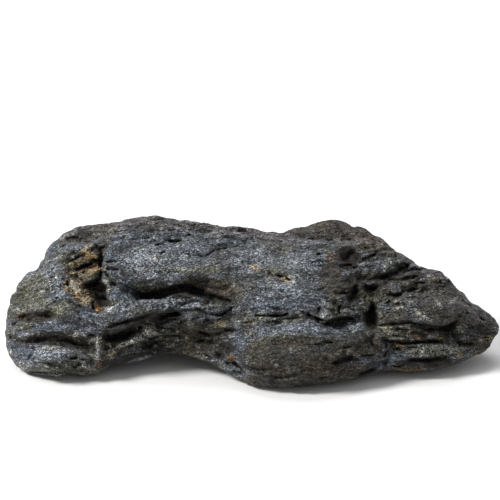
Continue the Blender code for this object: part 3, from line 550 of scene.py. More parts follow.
    Groove([(64, 24.2), (68, 22.8), (73, 22), (79, 21.8), (85, 22.2), (91, 22.6),
            (97, 23)], 1.69, 4.1, 0.6, 0.7, 0.08),
    Lump((74, 20.3), (4, 1.1), 1, -4),
    Lump((80, 18.2), (3.5, 1.5), 1.2, 6),
    Lump((95, 19.5), (14, 2.5), 1.2, 1),
    Groove([(70, 18.7), (74, 18.2), (78, 16.5)], 0.78, 1.4),
    Groove([(87, 17.7), (93, 18.5), (99, 18)], 0.65, 1.1),
    Groove([(77, 14), (82, 13.5), (89, 13.8), (97, 15)], 1.7, 3, 0.5, 0.6, 0.12),
    Ledge([(74, 9.5), (83, 10.5), (92, 12.5), (100, 14.2)], 0.7, 1.4, 0.4, 0.2),
    Lump((98.5, 23.2), (2.5, 2.3), 1.4),
    Groove([(101, 22.5), (102.5, 21.3), (101.5, 20.2)], 1.3, 2.5, 0, 0.5),
    Groove([(104, 21), (107, 21.3), (110, 20.8)], 1.17, 2.1, 0.3),
    Groove([(105, 24.5), (109, 23.3), (113, 24)], 0.78, 1.4),
    Groove([(97.5, 26), (101, 25.5), (104.5, 26.5)], 0.78, 1.4),
    Groove([(100, 17), (105, 17.5), (110.5, 19)], 0.78, 1.1),
    Lump((117.5, 23.5), (3.5, 2), 1, 30),
    Groove([(104, 43), (108, 40), (112, 36.5), (115, 33), (116, 31)], 1.04, 2.1, 0.1, 0.62, 0.1),
    Groove([(116, 31.2), (114, 30.2), (110, 30), (104, 29.5)], 0.91, 1.7, 0.4, 0.62, 0.15),
    Groove([(103, 37), (105.5, 36.3), (108, 37)], 0.78, 1.4),
    # The dark lump at the lobe's right end, and the slits and ribs of the lobe
    Groove([(62.5, 27.5), (64, 25), (65.8, 22), (66.3, 18), (65, 14)], 1.04, 2.3, 0, 0.5, 0.12),
    Lump((63.5, 20.5), (1.7, 4.5), 1, 16),
    Lump((71, 14.5), (7, 3), 1.7, -8),
    Groove([(66, 11.5), (71, 10.7), (77, 11.5)], 1.04, 1.6),
    Groove([(39, 11.7), (42, 13.5), (45.5, 14.8), (50, 15.7)], 2.2, 3.4, 0.4, 0.58, 0.12),
    Groove([(48.5, 14.8), (52, 15.1), (55, 16.3), (60.5, 16.5)], 0.91, 1.8, 0.4),
    Groove([(52, 6.5), (56, 8), (61, 9.3)], 1.17, 2.1, 0.4),
    Groove([(30.5, 21.3), (34.5, 22.6), (40.5, 22.2)], 1.04, 1.6, 0.3),
    Groove([(32, 5.2), (37.5, 5.9), (42, 6.5)], 0.78, 1.1),
    Groove([(-2, 10), (2, 9.2), (7, 9.5), (12, 10.7)], 1.82, 1.6, 0.3),
    Lump((5, 13), (8, 1.5), 0.7),
    Groove([(17, 13.5), (25, 14), (33, 13)], 0.78, 0.8),
    Groove([(5, 6), (14, 5.2), (24, 6)], 1.04, 1),
    Groove([(42, 19.5), (49, 20.5), (57, 20.2)], 0.78, 1),
    Groove([(5, 28), (10, 29.5), (15, 28.5)], 0.65, 0.9),
    Groove([(-6, 28), (-3, 32), (1, 33)], 0.78, 0.9, 0, 0.5),
    Lump((19.5, 18.5), (7, 1.5), 0.7, 2),
    Lump((52, 30), (6, 2.5), 0.9, -8),
    Ledge([(24, 3.5), (34, 4.3), (46.5, 5.5)], 0.6, 1.2, 0.4, 0.2),
    # Dents and slits of the shoulder and the upper band
    Groove([(-48.5, 69.3), (-45, 71.2), (-41, 72.3), (-37.5, 72), (-34, 73.2)], 1.17, 2.5, 0.5, 0.67, 0.15),
    Groove([(-41.5, 72), (-39, 71.9), (-36, 72.3)], 1.56, 1.8),
    Groove([(-45.5, 66), (-43, 67.2)], 0.78, 1.6, 0, 0.5),
    Groove([(-33.5, 66.7), (-31, 65), (-27.5, 64.8), (-22.5, 65.1), (-19.5, 67.1), (-15.5, 68.4),
            (-10.5, 69.2)], 0.91, 2.1, 0.5, 0.67, 0.1),
    Lump((-27.5, 68), (5, 2), 0.9, -4),
    Groove([(-18.5, 62.5), (-14.5, 62.3), (-11.5, 64)], 0.78, 1.4, 0.3),
    Groove([(-63, 69), (-58.5, 70.3)], 0.78, 1.4, 0, 0.5),
    Chip((-62.5, 74.8), (1.2, 0.7), 1.4),
    Chip((-59.5, 81.7), (1.5, 0.7), 1.2),
    Chip((-52.8, 80.6), (2.5, 0.8), 1.2, 4),
    Chip((-31, 75.5), (1.3, 1.1), 1.6, -20),
    Chip((-18.7, 73.3), (1.6, 0.8), 1.6, 8),
    Chip((-22.3, 73.4), (0.8, 0.5), 1),
    Groove([(-3.5, 73.5), (-1.5, 73.1), (1, 73.5)], 1.3, 2.3),
    Groove([(14, 72), (17, 73), (20, 73.5)], 0.78, 1.6),
    Groove([(-78, 73), (-74, 75), (-69, 75.5)], 0.78, 1.1),
    Groove([(-74, 78.5), (-70, 79.5), (-65.5, 78.5)], 0.78, 1.1),
    Groove([(-13, 76), (-7, 77.3), (-1, 76.5)], 0.65, 0.9),
    Groove([(-49, 78), (-43, 77), (-37, 78.5)], 0.65, 0.9),
    Groove([(8, 74.7), (16.5, 74), (25.5, 73.7), (35, 73), (44, 73), (52, 74)], 0.91, 1.1, 0.2, 0.62, 0.15),
    Groove([(24, 78.5), (30, 77.5), (35, 78.3)], 0.78, 1.1),
    Chip((34.5, 76.5), (1.5, 0.7), 1.2),
    Groove([(-2.5, 62), (-1, 60.5)], 1.17, 1.7),
    Groove([(7.5, 56.5), (9.5, 55.7)], 1.04, 1.8),
    Groove([(12, 55.8), (14.5, 55.1), (17, 54), (19.5, 52.5)], 1.04, 3, 0.3, 0.62, 0.15),
    Groove([(24, 57.5), (28.5, 56), (32, 52.5)], 0.78, 0.8, 0, 0.5),
    Groove([(27, 49), (32, 48), (37, 50)], 0.78, 0.9, 0, 0.5),
    Groove([(5, 45), (10, 43.5), (16, 44)], 0.78, 0.7, 0, 0.5),
    Lump((27, 62), (8, 6), 0.8),
    Lump((16, 47.5), (11, 6), 0.9, -8),
    Lump((-7, 52.5), (6, 4), 0.6),
]

# The strokes of the back, as few as its plain rock needs
REAR_FACE = [
    Beds((-40, 30), (62, 24), 0.9, 2.4, -6, 9),
    Beds((52, 30), (58, 26), 0.9, 2.6, -10),
    Groove([(-96, 26), (-64, 22), (-38, 25), (-14, 19), (8, 21)], 1.8, 2.6, 0.8, 0.6),
    Groove([(-34, 56), (-20, 48), (-2, 44), (14, 42), (40, 36), (70, 33), (92, 28)], 1.8, 2.6, 0.7, 0.6),
    Groove([(-6, 62), (-2, 56), (8, 52)], 1.2, 1.4, 0, 0.5),
    Groove([(16, 17), (40, 19), (66, 16), (92, 20)], 1.4, 2, 0.6, 0.5),
    Groove([(-98, 42), (-84, 44), (-70, 40)], 1, 1.6, 0.4, 0.5),
    Groove([(-60, 52), (-46, 55), (-30, 53)], 1, 1.4, 0.3, 0.5),
    Groove([(30, 54), (48, 50), (66, 48)], 1, 1.5, 0.4, 0.5),
    Groove([(-70, 32), (-52, 34), (-36, 32)], 0.9, 1.2, 0.3, 0.5),
    Groove([(40, 26), (56, 28), (76, 24)], 0.9, 1.4, 0.3, 0.5),
]

# Tones of the show face, as soft ellipses: x, h, half width, half height, strength and, where it has
# one, its turn in degrees. The dark brown tone lies mostly in recesses and is partly painted shade, the
# black tone is painted shadow in gaps and holes, the pale tone is a painted highlight, the quartz tone is
# pale grains with some painted glints, and the worn tone is rubbed smooth and also painted paler where light
# falls
PAINT = {
    "worn": [
        (11, 56, 30, 20, 0.6, -10), (-42, 63, 30, 12, 0.6), (-103, 50, 19, 18, 0.5, 20),
        (-43, 42, 34, 5, 0.6, 4), (25, 28, 42, 7, 0.45), (89, 44, 19, 9, 0.5, -5),
        (-98, 18, 12, 5, 0.6, -3), (-30, 74, 60, 8, 0.35, -2), (-60, 40, 20, 6, 0.4), (110, 36, 8, 8, 0.4),
        (40, 76, 26, 7, 0.35), (62, 59.5, 11, 3.5, 0.6, 15),
    ],
    "khaki": [
        (-108.5, 47, 14, 9, 0.8, 20), (-95, 41, 15, 4.5, 0.6, -4), (-114, 30.5, 7, 3, 0.7, 10),
        (-91, 9.5, 23, 3.5, 0.7), (-100, 20, 10, 2.5, 0.5), (-31, 26, 22, 10, 0.9),
        (-61, 22, 15, 4, 0.8, 26), (-56, 38, 8, 3, 0.7, 12), (-22, 41.5, 8, 2, 0.5), (-8.5, 45, 7, 5, 0.6),
        (70, 51, 23, 14, 0.7, -10), (-106, 43, 20, 10, 0.5), (24, 67, 20, 5, 0.4), (69, 35.5, 11, 4, 0.8),
        (94, 41, 23, 14, 0.5, -30), (49, 43, 16, 13, 0.8), (94, 19.5, 30, 5, 1, 2), (75, 27, 20, 4, 1, -6),
        (22, 19, 32, 10, 0.8, 2), (49, 23, 17, 10, 0.5), (-31, 58, 26, 2.5, 0.6), (-90, 62, 7, 8, 0.6),
        (-82, 55, 7.5, 3.5, 1), (64, 68, 17, 7, 0.9, -36), (-83, 75, 15, 4, 0.5, 14),
        (8, 58, 8, 3, 0.4, -20), (16.5, 33.5, 16, 1.5, 1),
    ],
    "pale": [
        (-83, 55.5, 4.5, 1.5, 0.4, 4), (-56, 63, 13, 7, 1), (-42, 61, 20, 7, 0.5),
        (-7, 63.5, 5.5, 3.5, 0.8, 10), (16, 48, 13, 6.5, 0.5), (-3, 63, 15, 6, 0.3, -8),
        (26, 62, 10, 7, 0.45), (7, 65, 14, 6, 0.15), (-99, 18, 13, 5, 1.1), (-96, 11.5, 20, 3, 0.3),
        (-31, 28, 19, 7, 0.25), (-87, 50, 5, 3.5, 0.6), (-100, 53, 5, 10, 0.6, -20),
        (-111, 26, 5.5, 1.4, 0.9), (-116, 38, 3.5, 2, 0.7, 20), (-111, 10.5, 8, 2.5, 0.4, -14),
        (-53, 41.5, 20, 3, 0.6, 8), (-36, 42.2, 19, 3.5, 1, -2), (57, 59.5, 8, 3, 0.6, 14),
        (69, 62, 7, 3, 0.6, 8), (36.5, 36, 4, 3, 1), (44.5, 43, 4.5, 3.5, 0.9),
        (37, 41, 4.5, 1.5, 0.8, -45), (46.5, 37.5, 4.5, 3, 0.9), (52, 40.5, 5, 3, 0.9),
        (24, 30, 26, 3.5, 0.3, -2), (16.5, 33.5, 15, 1.2, 0.6), (22.5, 19.5, 4.5, 1.3, 0.9),
        (29, 17, 3, 1.1, 0.8), (49, 25.5, 11, 3.5, 0.4, -6), (52, 29.5, 7, 3, 0.5, -8),
        (83.5, 37, 7, 3, 0.9, -10), (102, 43, 6, 4, 0.7, -40), (87, 43, 22, 10, 0.45, -10),
        (75.5, 42.5, 6.5, 2, 0.6), (99, 42.5, 5, 3, 0.5), (92, 40, 4.5, 2, 0.5), (-59, 24, 12, 3, 0.8, 26),
        (-30, 35.5, 2.5, 1.5, 0.7), (-25, 33, 3.5, 2, 0.8), (-11.5, 25, 5, 2.5, 0.7),
        (-17, 24.5, 2.5, 1.2, 0.8), (-23, 19, 5.5, 2.5, 0.6, -14), (-81, 10.5, 4.5, 2, 0.6),
        (88, 54.5, 6.5, 2, 0.6, -15), (-70, 38.5, 4, 2, 0.6, 20), (-6, 25.5, 4, 9, 0.3),
        (89, 19.2, 22, 3.5, 1), (98.5, 23.5, 2.5, 2.5, 0.6), (72, 27.5, 12, 2.5, 0.8, -6),
    ],
    "blue": [
        (82, 41, 9, 4.5, 0.9), (98, 47, 7, 4.5, 0.9, -30), (108, 34, 5, 4, 0.7, -40), (35, 19.5, 6, 2, 0.9),
        (46.5, 27, 12, 3.5, 0.5), (-65, 45, 8, 3.5, 1), (63, 61, 12, 4.5, 1, 15), (71, 49, 7, 3.5, 0.9, 6),
        (67, 40.5, 5, 2.5, 0.8), (60, 52, 6, 2.5, 0.7), (24, 29.5, 33, 4.5, 0.7), (71.5, 15, 7, 4, 1),
        (-100, 15.5, 10, 3, 0.9), (-114, 17, 7, 4, 1), (-106, 29, 13, 2.5, 0.7), (105, 42, 10, 7, 0.7, -40),
        (92, 43, 13, 7, 0.7, -10), (-6, 26, 5, 10, 0.8), (-36, 42.5, 22, 3, 0.8), (20, 47, 22, 10, 0.6),
        (27, 64, 12, 7, 0.5), (-70, 65, 5, 4.5, 0.9), (-56, 64, 12, 6, 0.6), (-96, 51, 7, 10, 0.5, -20),
        (-81, 37, 12, 3, 0.7, 4), (-26, 73, 45, 6, 0.4), (51.5, 37.5, 3, 2.5, 1), (-24, 34, 9, 3.5, 0.6),
    ],
    "dusk": [
        (-36, 47.5, 29, 4, 0.8, -2), (-23.5, 51, 17, 4, 0.7, -12), (-78, 50, 7.5, 3.5, 1, 24),
        (-76, 46, 4.5, 4, 1, 30), (-76.5, 68.8, 5, 1.8, 1, -6), (-74.8, 64.5, 1.5, 6, 0.9),
        (-77.5, 62.2, 4, 2, 0.9), (-84.5, 58.3, 5.5, 1.2, 0.8, 16), (-72.5, 42, 6, 2.5, 1, -14),
        (-90.5, 52, 1.5, 5, 0.8), (-64, 27.5, 18, 6, 1, 24), (-48, 35, 17, 4.5, 0.9, 14),
        (-39.5, 35.5, 7, 3, 1, 8), (-33.5, 18, 28, 3, 0.8), (-61, 14.5, 16, 2, 0.9, 15),
        (-31, 25, 23, 10, 0.45), (-96, 24, 21, 4.7, 1, -3), (-109, 24.5, 11, 2.5, 0.6, 4),
        (-89, 22.5, 15, 3.5, 1, -7), (-81, 21, 6, 2.5, 1, -20), (-106, 35.2, 14, 4, 1, 6),
        (-115, 23.5, 7, 1.5, 0.5, -14), (-72, 56, 3, 1.2, 0.8, -40), (-68.5, 51, 2.5, 2, 0.7),
        (-88, 73.5, 11, 2.5, 0.6, 18), (-79, 25.8, 3, 1.5, 0.7), (-73, 12, 5, 2.5, 0.8, 34),
        (48, 65.5, 7.5, 5.5, 0.95), (52, 64.5, 2.5, 4, 0.8, -20), (48, 59.5, 6, 1.7, 0.9),
        (50.5, 46.5, 3, 6.5, 1, -26), (59, 49, 5.5, 2.5, 1), (54.5, 53.5, 4.5, 1.5, 0.8),
        (68.5, 55.5, 9, 3, 1, 12), (75, 59.5, 4.5, 2.5, 0.95, 16), (77.5, 54.5, 4.5, 1.5, 0.8, 6),
        (80, 48.5, 3.5, 1.7, 0.9, 28), (72, 46.3, 5, 1.3, 0.8, 8), (58.5, 35.5, 4.5, 5.5, 1),
        (59.5, 40, 1.5, 2.5, 1), (17, 36, 16, 1.8, 0.8), (29.5, 34.5, 7, 1.7, 0.9, -18),
        (44, 33.5, 8.5, 1.8, 1, 8), (43, 46.5, 6, 1.3, 0.8), (89, 31, 19, 2.5, 0.95, 2),
        (98.5, 31, 6.5, 3.5, 0.9, 30), (71.5, 32.5, 13, 2, 0.5), (80, 22.5, 18, 1.5, 0.9),
        (87, 12.2, 17, 3.5, 1, 2), (106, 22.5, 5, 2.5, 0.6), (23, 5, 39, 6, 0.9, 3),
        (46.5, 9, 17, 4.5, 0.7, 6), (45.5, 14, 7, 2.5, 1, 16), (1.5, 10.5, 7.5, 3, 0.9, -2),
        (-13, 19.5, 5.5, 2.3, 0.95, -12), (-16, 16, 3, 3, 0.7), (-10.5, 28.8, 4.5, 1.7, 0.95),
        (-23.5, 22.5, 7.5, 1.7, 0.8, -8), (-25.5, 38, 6.5, 1.5, 0.8, -22), (-14.5, 37, 4.5, 1.5, 0.9, 12),
        (-16.5, 43, 9, 2, 0.9, -8), (-5.5, 10, 4, 1.3, 0.9, -45), (89, 11, 20, 2, 0.7, 6),
        (118, 33, 5, 6.5, 0.45, -50), (37, 53, 10, 11, 0.5), (41, 78.5, 35, 7, 0.95), (59, 23, 8, 7, 0.6),
        (116, 24, 6, 11, 0.5, -30), (-2, 30.5, 4, 3, 0.6), (94, 27, 18, 3.5, 0.5),
        (110, 32, 6, 5, 0.5, -40), (-51, 79, 60, 6, 0.3), (82, 45, 30, 15, 0.35, -20),
        (24, 17, 40, 13, 0.65), (51, 49, 20, 17, 0.3), (94, 43, 22, 13, 0.5, -20), (-1, 73, 9, 3, 0.3),
        (-18, 48, 12, 6, 0.6, -16), (-23.5, 26.5, 20, 8, 0.6, -6), (39, 57, 7, 7, 0.6),
        (35, 9, 18, 6.5, 0.75, 4), (55, 23, 12, 7.5, 0.55, -10), (76.5, 11.5, 7, 3, 0.9),
        (-8, 53, 16, 7, 0.35), (113, 25.5, 11, 7, 0.4, -60), (64, 65, 15, 4, 0.3, 30),
        (41, 65, 4.5, 2.5, 0.5),
    ],
    "black_shadow": [
        (-86, 22, 11, 2, 0.5, -9), (-47, 46.2, 12, 2.5, 1, 8), (-34, 49.5, 9, 2.5, 0.9),
        (-22, 46.2, 7, 2, 0.7, -22), (-65, 25.5, 11, 2.5, 0.8, 20), (-41, 35.8, 6.5, 2.3, 1, 8),
        (-52, 34.3, 10, 3, 0.9, 18), (-64, 30, 13, 3.5, 0.55, 22), (-50, 31.5, 6, 2, 0.6, 16),
        (-81, 21.5, 5, 1.8, 0.9, -20), (-109, 35, 6, 1.3, 0.5, 4), (-77, 67.8, 3, 1.5, 0.9),
        (-74.8, 63.5, 1, 7, 0.8), (-82.5, 59.7, 5.5, 1, 0.8, 24), (-79.5, 51.2, 5.5, 2.2, 1, 14),
        (-75, 46.5, 4.5, 4.5, 1, -50), (-73.5, 50, 3, 3.5, 0.8), (-72.5, 41.8, 2.5, 1.5, 0.9, -20),
        (-78.2, 40.5, 0.9, 2, 0.8), (-73, 56.5, 2, 0.9, 0.8, -50), (-68.5, 50.5, 2, 1.2, 0.7),
        (-12, 29, 5, 2, 1), (-22.5, 26, 7, 2, 0.8, -8), (-22, 22.5, 8, 1.6, 0.9, -4),
        (-51, 21.5, 5.5, 3, 0.9, 24), (-16.5, 16, 4, 2.5, 1), (-12, 20, 5.5, 2.5, 1, -26),
        (-61, 14.5, 14, 2, 0.8, 14), (-71.5, 12, 5, 2, 0.7, 28), (-23.5, 37.7, 13, 1, 0.6, -2),
        (12.5, 35.5, 8.5, 1.3, 0.8, 2), (28, 35.2, 5, 1.5, 0.8, -26), (42.5, 32.8, 8.5, 2.7, 1, 12),
        (58.8, 34, 4.5, 4.5, 1), (60.5, 39.5, 1.7, 3, 1), (48, 65.5, 7, 5.5, 0.8, -20),
        (43, 67, 3, 1.5, 0.6, 20), (47.5, 60, 6.5, 2, 0.9), (60.5, 65.5, 8.5, 1.3, 0.8, 32),
        (67.5, 68.8, 4, 1.2, 0.6, -8), (57, 69.5, 3, 1, 0.5, 10), (-87.5, 74.1, 4.5, 1, 0.7, -6),
        (-82, 72, 2.5, 1, 0.6, -30), (-35.5, 38.3, 9, 1.1, 0.6, 2), (-15, 37, 4.5, 1.2, 0.7, 10),
        (107, 42, 11, 0.8, 0.4, -48), (-22, 45.5, 7, 1.5, 0.6, -14), (50, 45, 4, 4, 1, 30),
        (44.5, 46.7, 4, 1, 0.7), (60.5, 49.7, 4.5, 2, 0.9), (54.5, 53.5, 3, 1, 0.7),
        (69.5, 55.5, 7.5, 2.5, 1, 20), (74.5, 59, 4.5, 3, 1, 36), (80, 55.5, 6, 2, 0.8, 8),
        (72, 46, 5, 1, 0.6, 12), (79, 48, 3, 1, 0.8, 24), (74, 31.7, 12, 1, 0.7), (88, 29.5, 7, 2.2, 0.8),
        (98, 30, 4.5, 3.5, 0.8, 30), (80, 22.2, 15, 1, 0.8), (86, 12.7, 15, 3.5, 0.95, 2),
        (45.5, 14, 7.5, 2.5, 1, 16), (58, 16.3, 6, 0.8, 0.6, 4), (57, 8, 7.5, 2, 0.9, 18),
        (22, 3, 22, 2, 0.7), (-7, 11, 3, 0.8, 0.9, -44), (107, 21.5, 5, 1, 0.6), (65, 24, 1.5, 4, 0.6, 20),
    ],
    "ochre": [
        (68, 28.5, 4.5, 2.2, 0.5), (75, 27, 5, 1.5, 0.6, 6), (73, 20.5, 5, 1.4, 0.8, -4),
        (102.5, 16, 2.5, 2, 0.8), (94, 24.5, 5, 1.5, 0.5), (117.5, 24, 4.5, 2.5, 0.8, 30),
        (-114.5, 36, 5.5, 2.5, 0.5, 26), (-110, 29.5, 3, 1.5, 0.5, 30), (1.5, 59, 4, 1.7, 0.8, -24),
        (9, 56, 2, 1.2, 0.8, -10), (16, 53.8, 4.3, 1.7, 1, -28), (-17.5, 51, 5.5, 3, 0.3, -10),
        (-15.5, 32.5, 4, 2.5, 0.45, -4), (-70, 16.5, 3, 2.5, 1, 40), (-64, 21, 5, 1.5, 0.2, 26),
        (90, 54, 5, 2, 0.25, -14), (0, 24.5, 3, 6, 0.1), (-67, 22, 3.5, 1.5, 0.5, 10),
        (-79, 65.7, 7.5, 4.5, 1, -6), (-81, 69.5, 3, 1.7, 0.7, 20), (-85, 61.5, 8, 2.5, 0.7, 12),
        (-78, 58.2, 6, 2.5, 1, 6), (-78, 64, 5, 5, 0.6), (-83, 56, 9, 2.5, 0.2, 4), (-87, 50, 8, 5, 1, -8),
        (-81, 48, 4, 2.5, 0.6), (-82.5, 44.3, 6.5, 3.5, 0.9, -12), (-90, 56.5, 4, 2.5, 0.4),
        (-76, 40, 3.5, 3.5, 0.55),
    ],
    "quartz_and_glint": [
        (68, 28.5, 5, 2, 0.4), (-50.5, 29, 4.5, 4, 0.9), (-56, 25, 8, 2.5, 0.35, 28),
        (-77, 23.3, 4.5, 1.8, 0.8, 10), (-75.7, 19, 2, 7, 0.5, -4), (-70.7, 38.5, 2.5, 1.5, 0.5),
        (-96.5, 54.5, 1.5, 1, 0.5), (-86.5, 50, 6, 3.5, 0.7, -8), (-77.5, 58.2, 4, 1.3, 0.25, 6),
        (-80.5, 69.5, 3, 1.5, 0.5, 20), (-96, 64.7, 4.5, 0.8, 0.5, 24), (-82.5, 44, 4, 2, 0.35, -10),
        (-70, 16.5, 3, 3, 0.5, 40), (19.5, 51.5, 2, 1.5, 0.9, -30), (1.5, 59, 3.5, 1.5, 0.4, -20),
        (36.5, 36, 3.5, 2.5, 0.4), (99, 42.5, 2.5, 1.5, 0.4), (-116, 38.5, 1.7, 1.2, 0.8),
        (72.5, 40, 2, 1.5, 0.9), (-86, 27, 1.5, 1.2, 0.8), (-88.5, 26, 2, 1, 0.6),
        (-120, 17.5, 1.5, 1.2, 0.8), (-114, 12, 2, 1.3, 0.7, 30), (-113.5, 9, 2, 1.5, 0.8),
        (-109, 26, 4.5, 1, 0.6), (65, 72, 1.5, 1.2, 0.8), (68.5, 65.5, 2, 1.2, 0.6),
        (56.5, 38.5, 2.5, 1.3, 0.5), (60, 64, 1.5, 1, 0.6), (83, 36, 2.5, 1.5, 0.6, -20),
        (-97, 19.5, 5, 2, 0.2), (57, 27.5, 2, 2, 0.6), (23, 37, 2, 0.9, 0.7), (12, 11.8, 1.4, 1.1, 1),
        (82, 37.5, 1.7, 1.1, 0.8), (86, 35, 1.5, 0.9, 0.7), (92.5, 41, 1.4, 1.2, 0.8),
        (91, 43.5, 1.2, 0.9, 0.7), (101, 44, 1.5, 1.2, 0.6), (107, 42, 1.2, 1.1, 0.8),
        (98, 41.5, 1.2, 0.9, 0.6), (113.5, 23, 1.2, 1.2, 0.7), (87.5, 55, 2, 0.9, 0.6, -10),
        (74, 67, 1.5, 1, 0.6, -30), (-72, 53, 1.7, 1.3, 0.9), (-70.5, 48, 1.5, 1.2, 0.7),
        (-67, 41.5, 2, 1.2, 0.7), (-47.5, 64, 4.5, 2, 0.3, -30),
    ],
    "rust": [
        (-80, 59.8, 6.5, 1.5, 1, 14), (-84, 58, 4.5, 1.2, 0.7, 18), (-77.5, 64, 4, 1.5, 0.5),
        (-75.5, 40.7, 4, 4.5, 1), (-73, 42.5, 4, 2, 0.7, -20), (-86, 45, 4, 2, 0.5), (-82, 55, 2, 7, 0.2),
        (-72.5, 20, 3, 1.8, 0.9, -20), (-10.5, 15.2, 2.8, 2.3, 1), (40, 64, 4.5, 3, 0.7),
        (52, 46.5, 2.5, 1.7, 0.7, 20), (44, 34.5, 3, 1.3, 0.7), (81.5, 25, 3.5, 2, 0.7, -10),
        (72, 21, 4.5, 1.2, 0.4), (79, 9.2, 9, 2, 0.6, 2), (36, 10, 17, 5, 0.5, 4),
        (10, 10.5, 11, 2.5, 0.35), (111.5, 16, 7, 2, 0.6, 18), (-74, 12, 4.5, 2.5, 0.8, 34),
        (-15, 48, 8, 3.5, 0.35, -16), (-23, 48, 10, 2.5, 0.4, -6), (-63, 29.5, 6, 2, 0.25, 24),
        (92, 52.5, 2, 1.2, 0.6), (99, 32, 5, 2.5, 0.4, 30), (-111, 34.5, 6, 1.5, 0.35, 6),
    ],
}

# Which way the layers run on the show face, as (centre, reach, rise in degrees)
FLOW = [
    ((-105, 55), 16, 24), ((-98, 20), 18, -3), ((-83, 58), 10, 12), ((-60, 46), 10, -14), ((-40, 60), 18, 3),
    ((-58, 36), 10, 14), ((-30, 38), 10, 2), ((-14, 40), 8, -14), ((-62, 20), 12, 22), ((-35, 26), 14, 4),
    ((-12, 25), 8, -20), ((8, 58), 18, -24), ((20, 46), 14, -14), ((-5, 15), 9, -18), ((25, 22), 22, 1),
    ((50, 12), 14, 12), ((45, 34), 9, 10), ((50, 48), 10, 22), ((68, 56), 14, 22), ((85, 46), 14, 14),
    ((80, 30), 16, 2), ((84, 18), 14, 3), ((108, 36), 9, -30), ((108, 24), 9, 10), ((45, 72), 18, -6),
    ((-40, 76), 26, 4), ((5, 74), 18, -4), ((70, 70), 10, -26), ((95, 56), 10, -22),
]


# Mesh work


def points_of(piece):
    co = np.empty(len(piece.data.vertices) * 3, np.float32)
    piece.data.vertices.foreach_get("co", co)
    return co.reshape(-1, 3).astype(float)


def normals_of(piece):
    normals = np.empty(len(piece.data.vertices) * 3, np.float32)
    piece.data.vertices.foreach_get("normal", normals)
    return normals.reshape(-1, 3).astype(float)


def place(piece, points):
    piece.data.vertices.foreach_set("co", points.astype(np.float32).ravel())
    piece.data.update()


def apply_modifiers(piece):
    graph = bpy.context.evaluated_depsgraph_get()
    old = piece.data
    piece.data = bpy.data.meshes.new_from_object(piece.evaluated_get(graph))
    piece.modifiers.clear()
    bpy.data.meshes.remove(old)
    piece.data.name = piece.name


def even_out(piece, cell, rounds):
    """Gives the piece an even skin of square faces, cell wide, and smooths its facets away."""
    remesh = piece.modifiers.new("even_skin", "REMESH")
    remesh.mode = "VOXEL"
    remesh.voxel_size = cell
    if rounds:
        smooth = piece.modifiers.new("worn", "SMOOTH")
        smooth.factor = 0.5
        smooth.iterations = rounds
    apply_modifiers(piece)


def waves(x, y, z, sizes, shift=(0, 0, 0)):
    """Noise between about -1 and 1, whose waves have the three sizes. A shift gives other waves."""
    a, b, c = sizes
    return noise.noise(Vector((x / a + shift[0], y / b + shift[1], z / c + shift[2])))


def wander(drawn):
    """How far, in millimetres, each place is drawn off its true one, so that no edge is straight or round."""
    off = np.empty(drawn.shape)
    for i, (x, h) in enumerate(drawn):
        off[i, 0] = 0.4 * waves(x, h, 0.5, (7, 5, 1)) + 0.8 * waves(x, h, 7.5, (2.6, 1.8, 1))
        off[i, 1] = 0.5 * waves(x, h, 9.5, (7, 5, 1))
    return off


def ragged(drawn):
    """The drawn places, moved about as the strokes are and a little more, so that paint frays at its edge."""
    off = wander(drawn)
    for i, (x, h) in enumerate(drawn):
        off[i, 0] += 0.7 * waves(x, h, 21, (1.3, 0.9, 1))
        off[i, 1] += 0.5 * waves(x, h, 33, (1.5, 0.8, 1))
    return drawn + off


def unevenness(drawn):
    """What share of its depth a crack has at each drawn place: cracks come and go."""
    share = np.empty(len(drawn))
    for i, (x, h) in enumerate(drawn):
        share[i] = waves(x, h, 60, (3.4, 2.2, 1)) * 1.3 + waves(x, h, 70, (1.3, 1, 1)) * 0.9
    return np.clip(0.95 + share, 0.3, 1.5)


def near_stroke(drawn, stroke):
    """The places within reach of a stroke."""
    low, high = stroke.line.min(0) - stroke.reach, stroke.line.max(0) + stroke.reach
    return np.flatnonzero(((drawn > low) & (drawn < high)).all(1))


def work(piece, side, strokes):
    """Cuts and raises the strokes of one side, each in turn."""
    points, normals = points_of(piece), normals_of(piece)
    facing, edges_facing = side.facing(normals), smooth_step(*EDGES_SHOWN, normals @ side.out)
    off = wander(side.drawn(points))
    uneven = unevenness(side.drawn(points))
    for stroke in strokes:
        drawn = side.drawn(points) + off
        near = near_stroke(drawn, stroke)
        outwards, upwards = stroke.move(drawn[near], side.depths(points[near]))
        share = (edges_facing if stroke.edges_too else facing)[near]
        outwards *= 1 + (uneven[near] - 1) * stroke.uneven
        points[near] += (outwards * share)[:, None] * side.out + (upwards * share)[:, None] * side.up
    place(piece, points)


def bed_heights(drawn):
    """The height of each drawn place across the layers, which bend with the flow of the show face."""
    total, weight = np.zeros(len(drawn)), np.zeros(len(drawn))
    for centre, reach, rise in FLOW:
        off = drawn - centre
        share = np.exp(-(off ** 2).sum(1) / reach ** 2) + 1e-9
        c, s = math.cos(math.radians(rise)), math.sin(math.radians(rise))
        total += share * (off[:, 1] * c - off[:, 0] * s + centre[1])
        weight += share
    return total / weight


def bed_heights_of(piece):
    """The height of each point across the layers: with the flow in front, and nearly level behind."""
    points, normals = points_of(piece), normals_of(piece)
    shown = FRONT.facing(normals)
    behind = points[:, 2] + BEDS_FALL_BACK * points[:, 1]
    return shown * bed_heights(FRONT.drawn(points)) + (1 - shown) * behind


def amount_of(drawn, tone):
    """How strongly each drawn place has one of the painted tones."""
    bare = np.ones(len(drawn))
    for x, h, half_width, half_height, strength, *turn in PAINT[tone]:
        spot = Lump((x, h), (half_width, half_height), 1, *turn)
        bare *= 1 - strength * smooth_step(0, 0.9, spot.inside(drawn))
    return 1 - bare


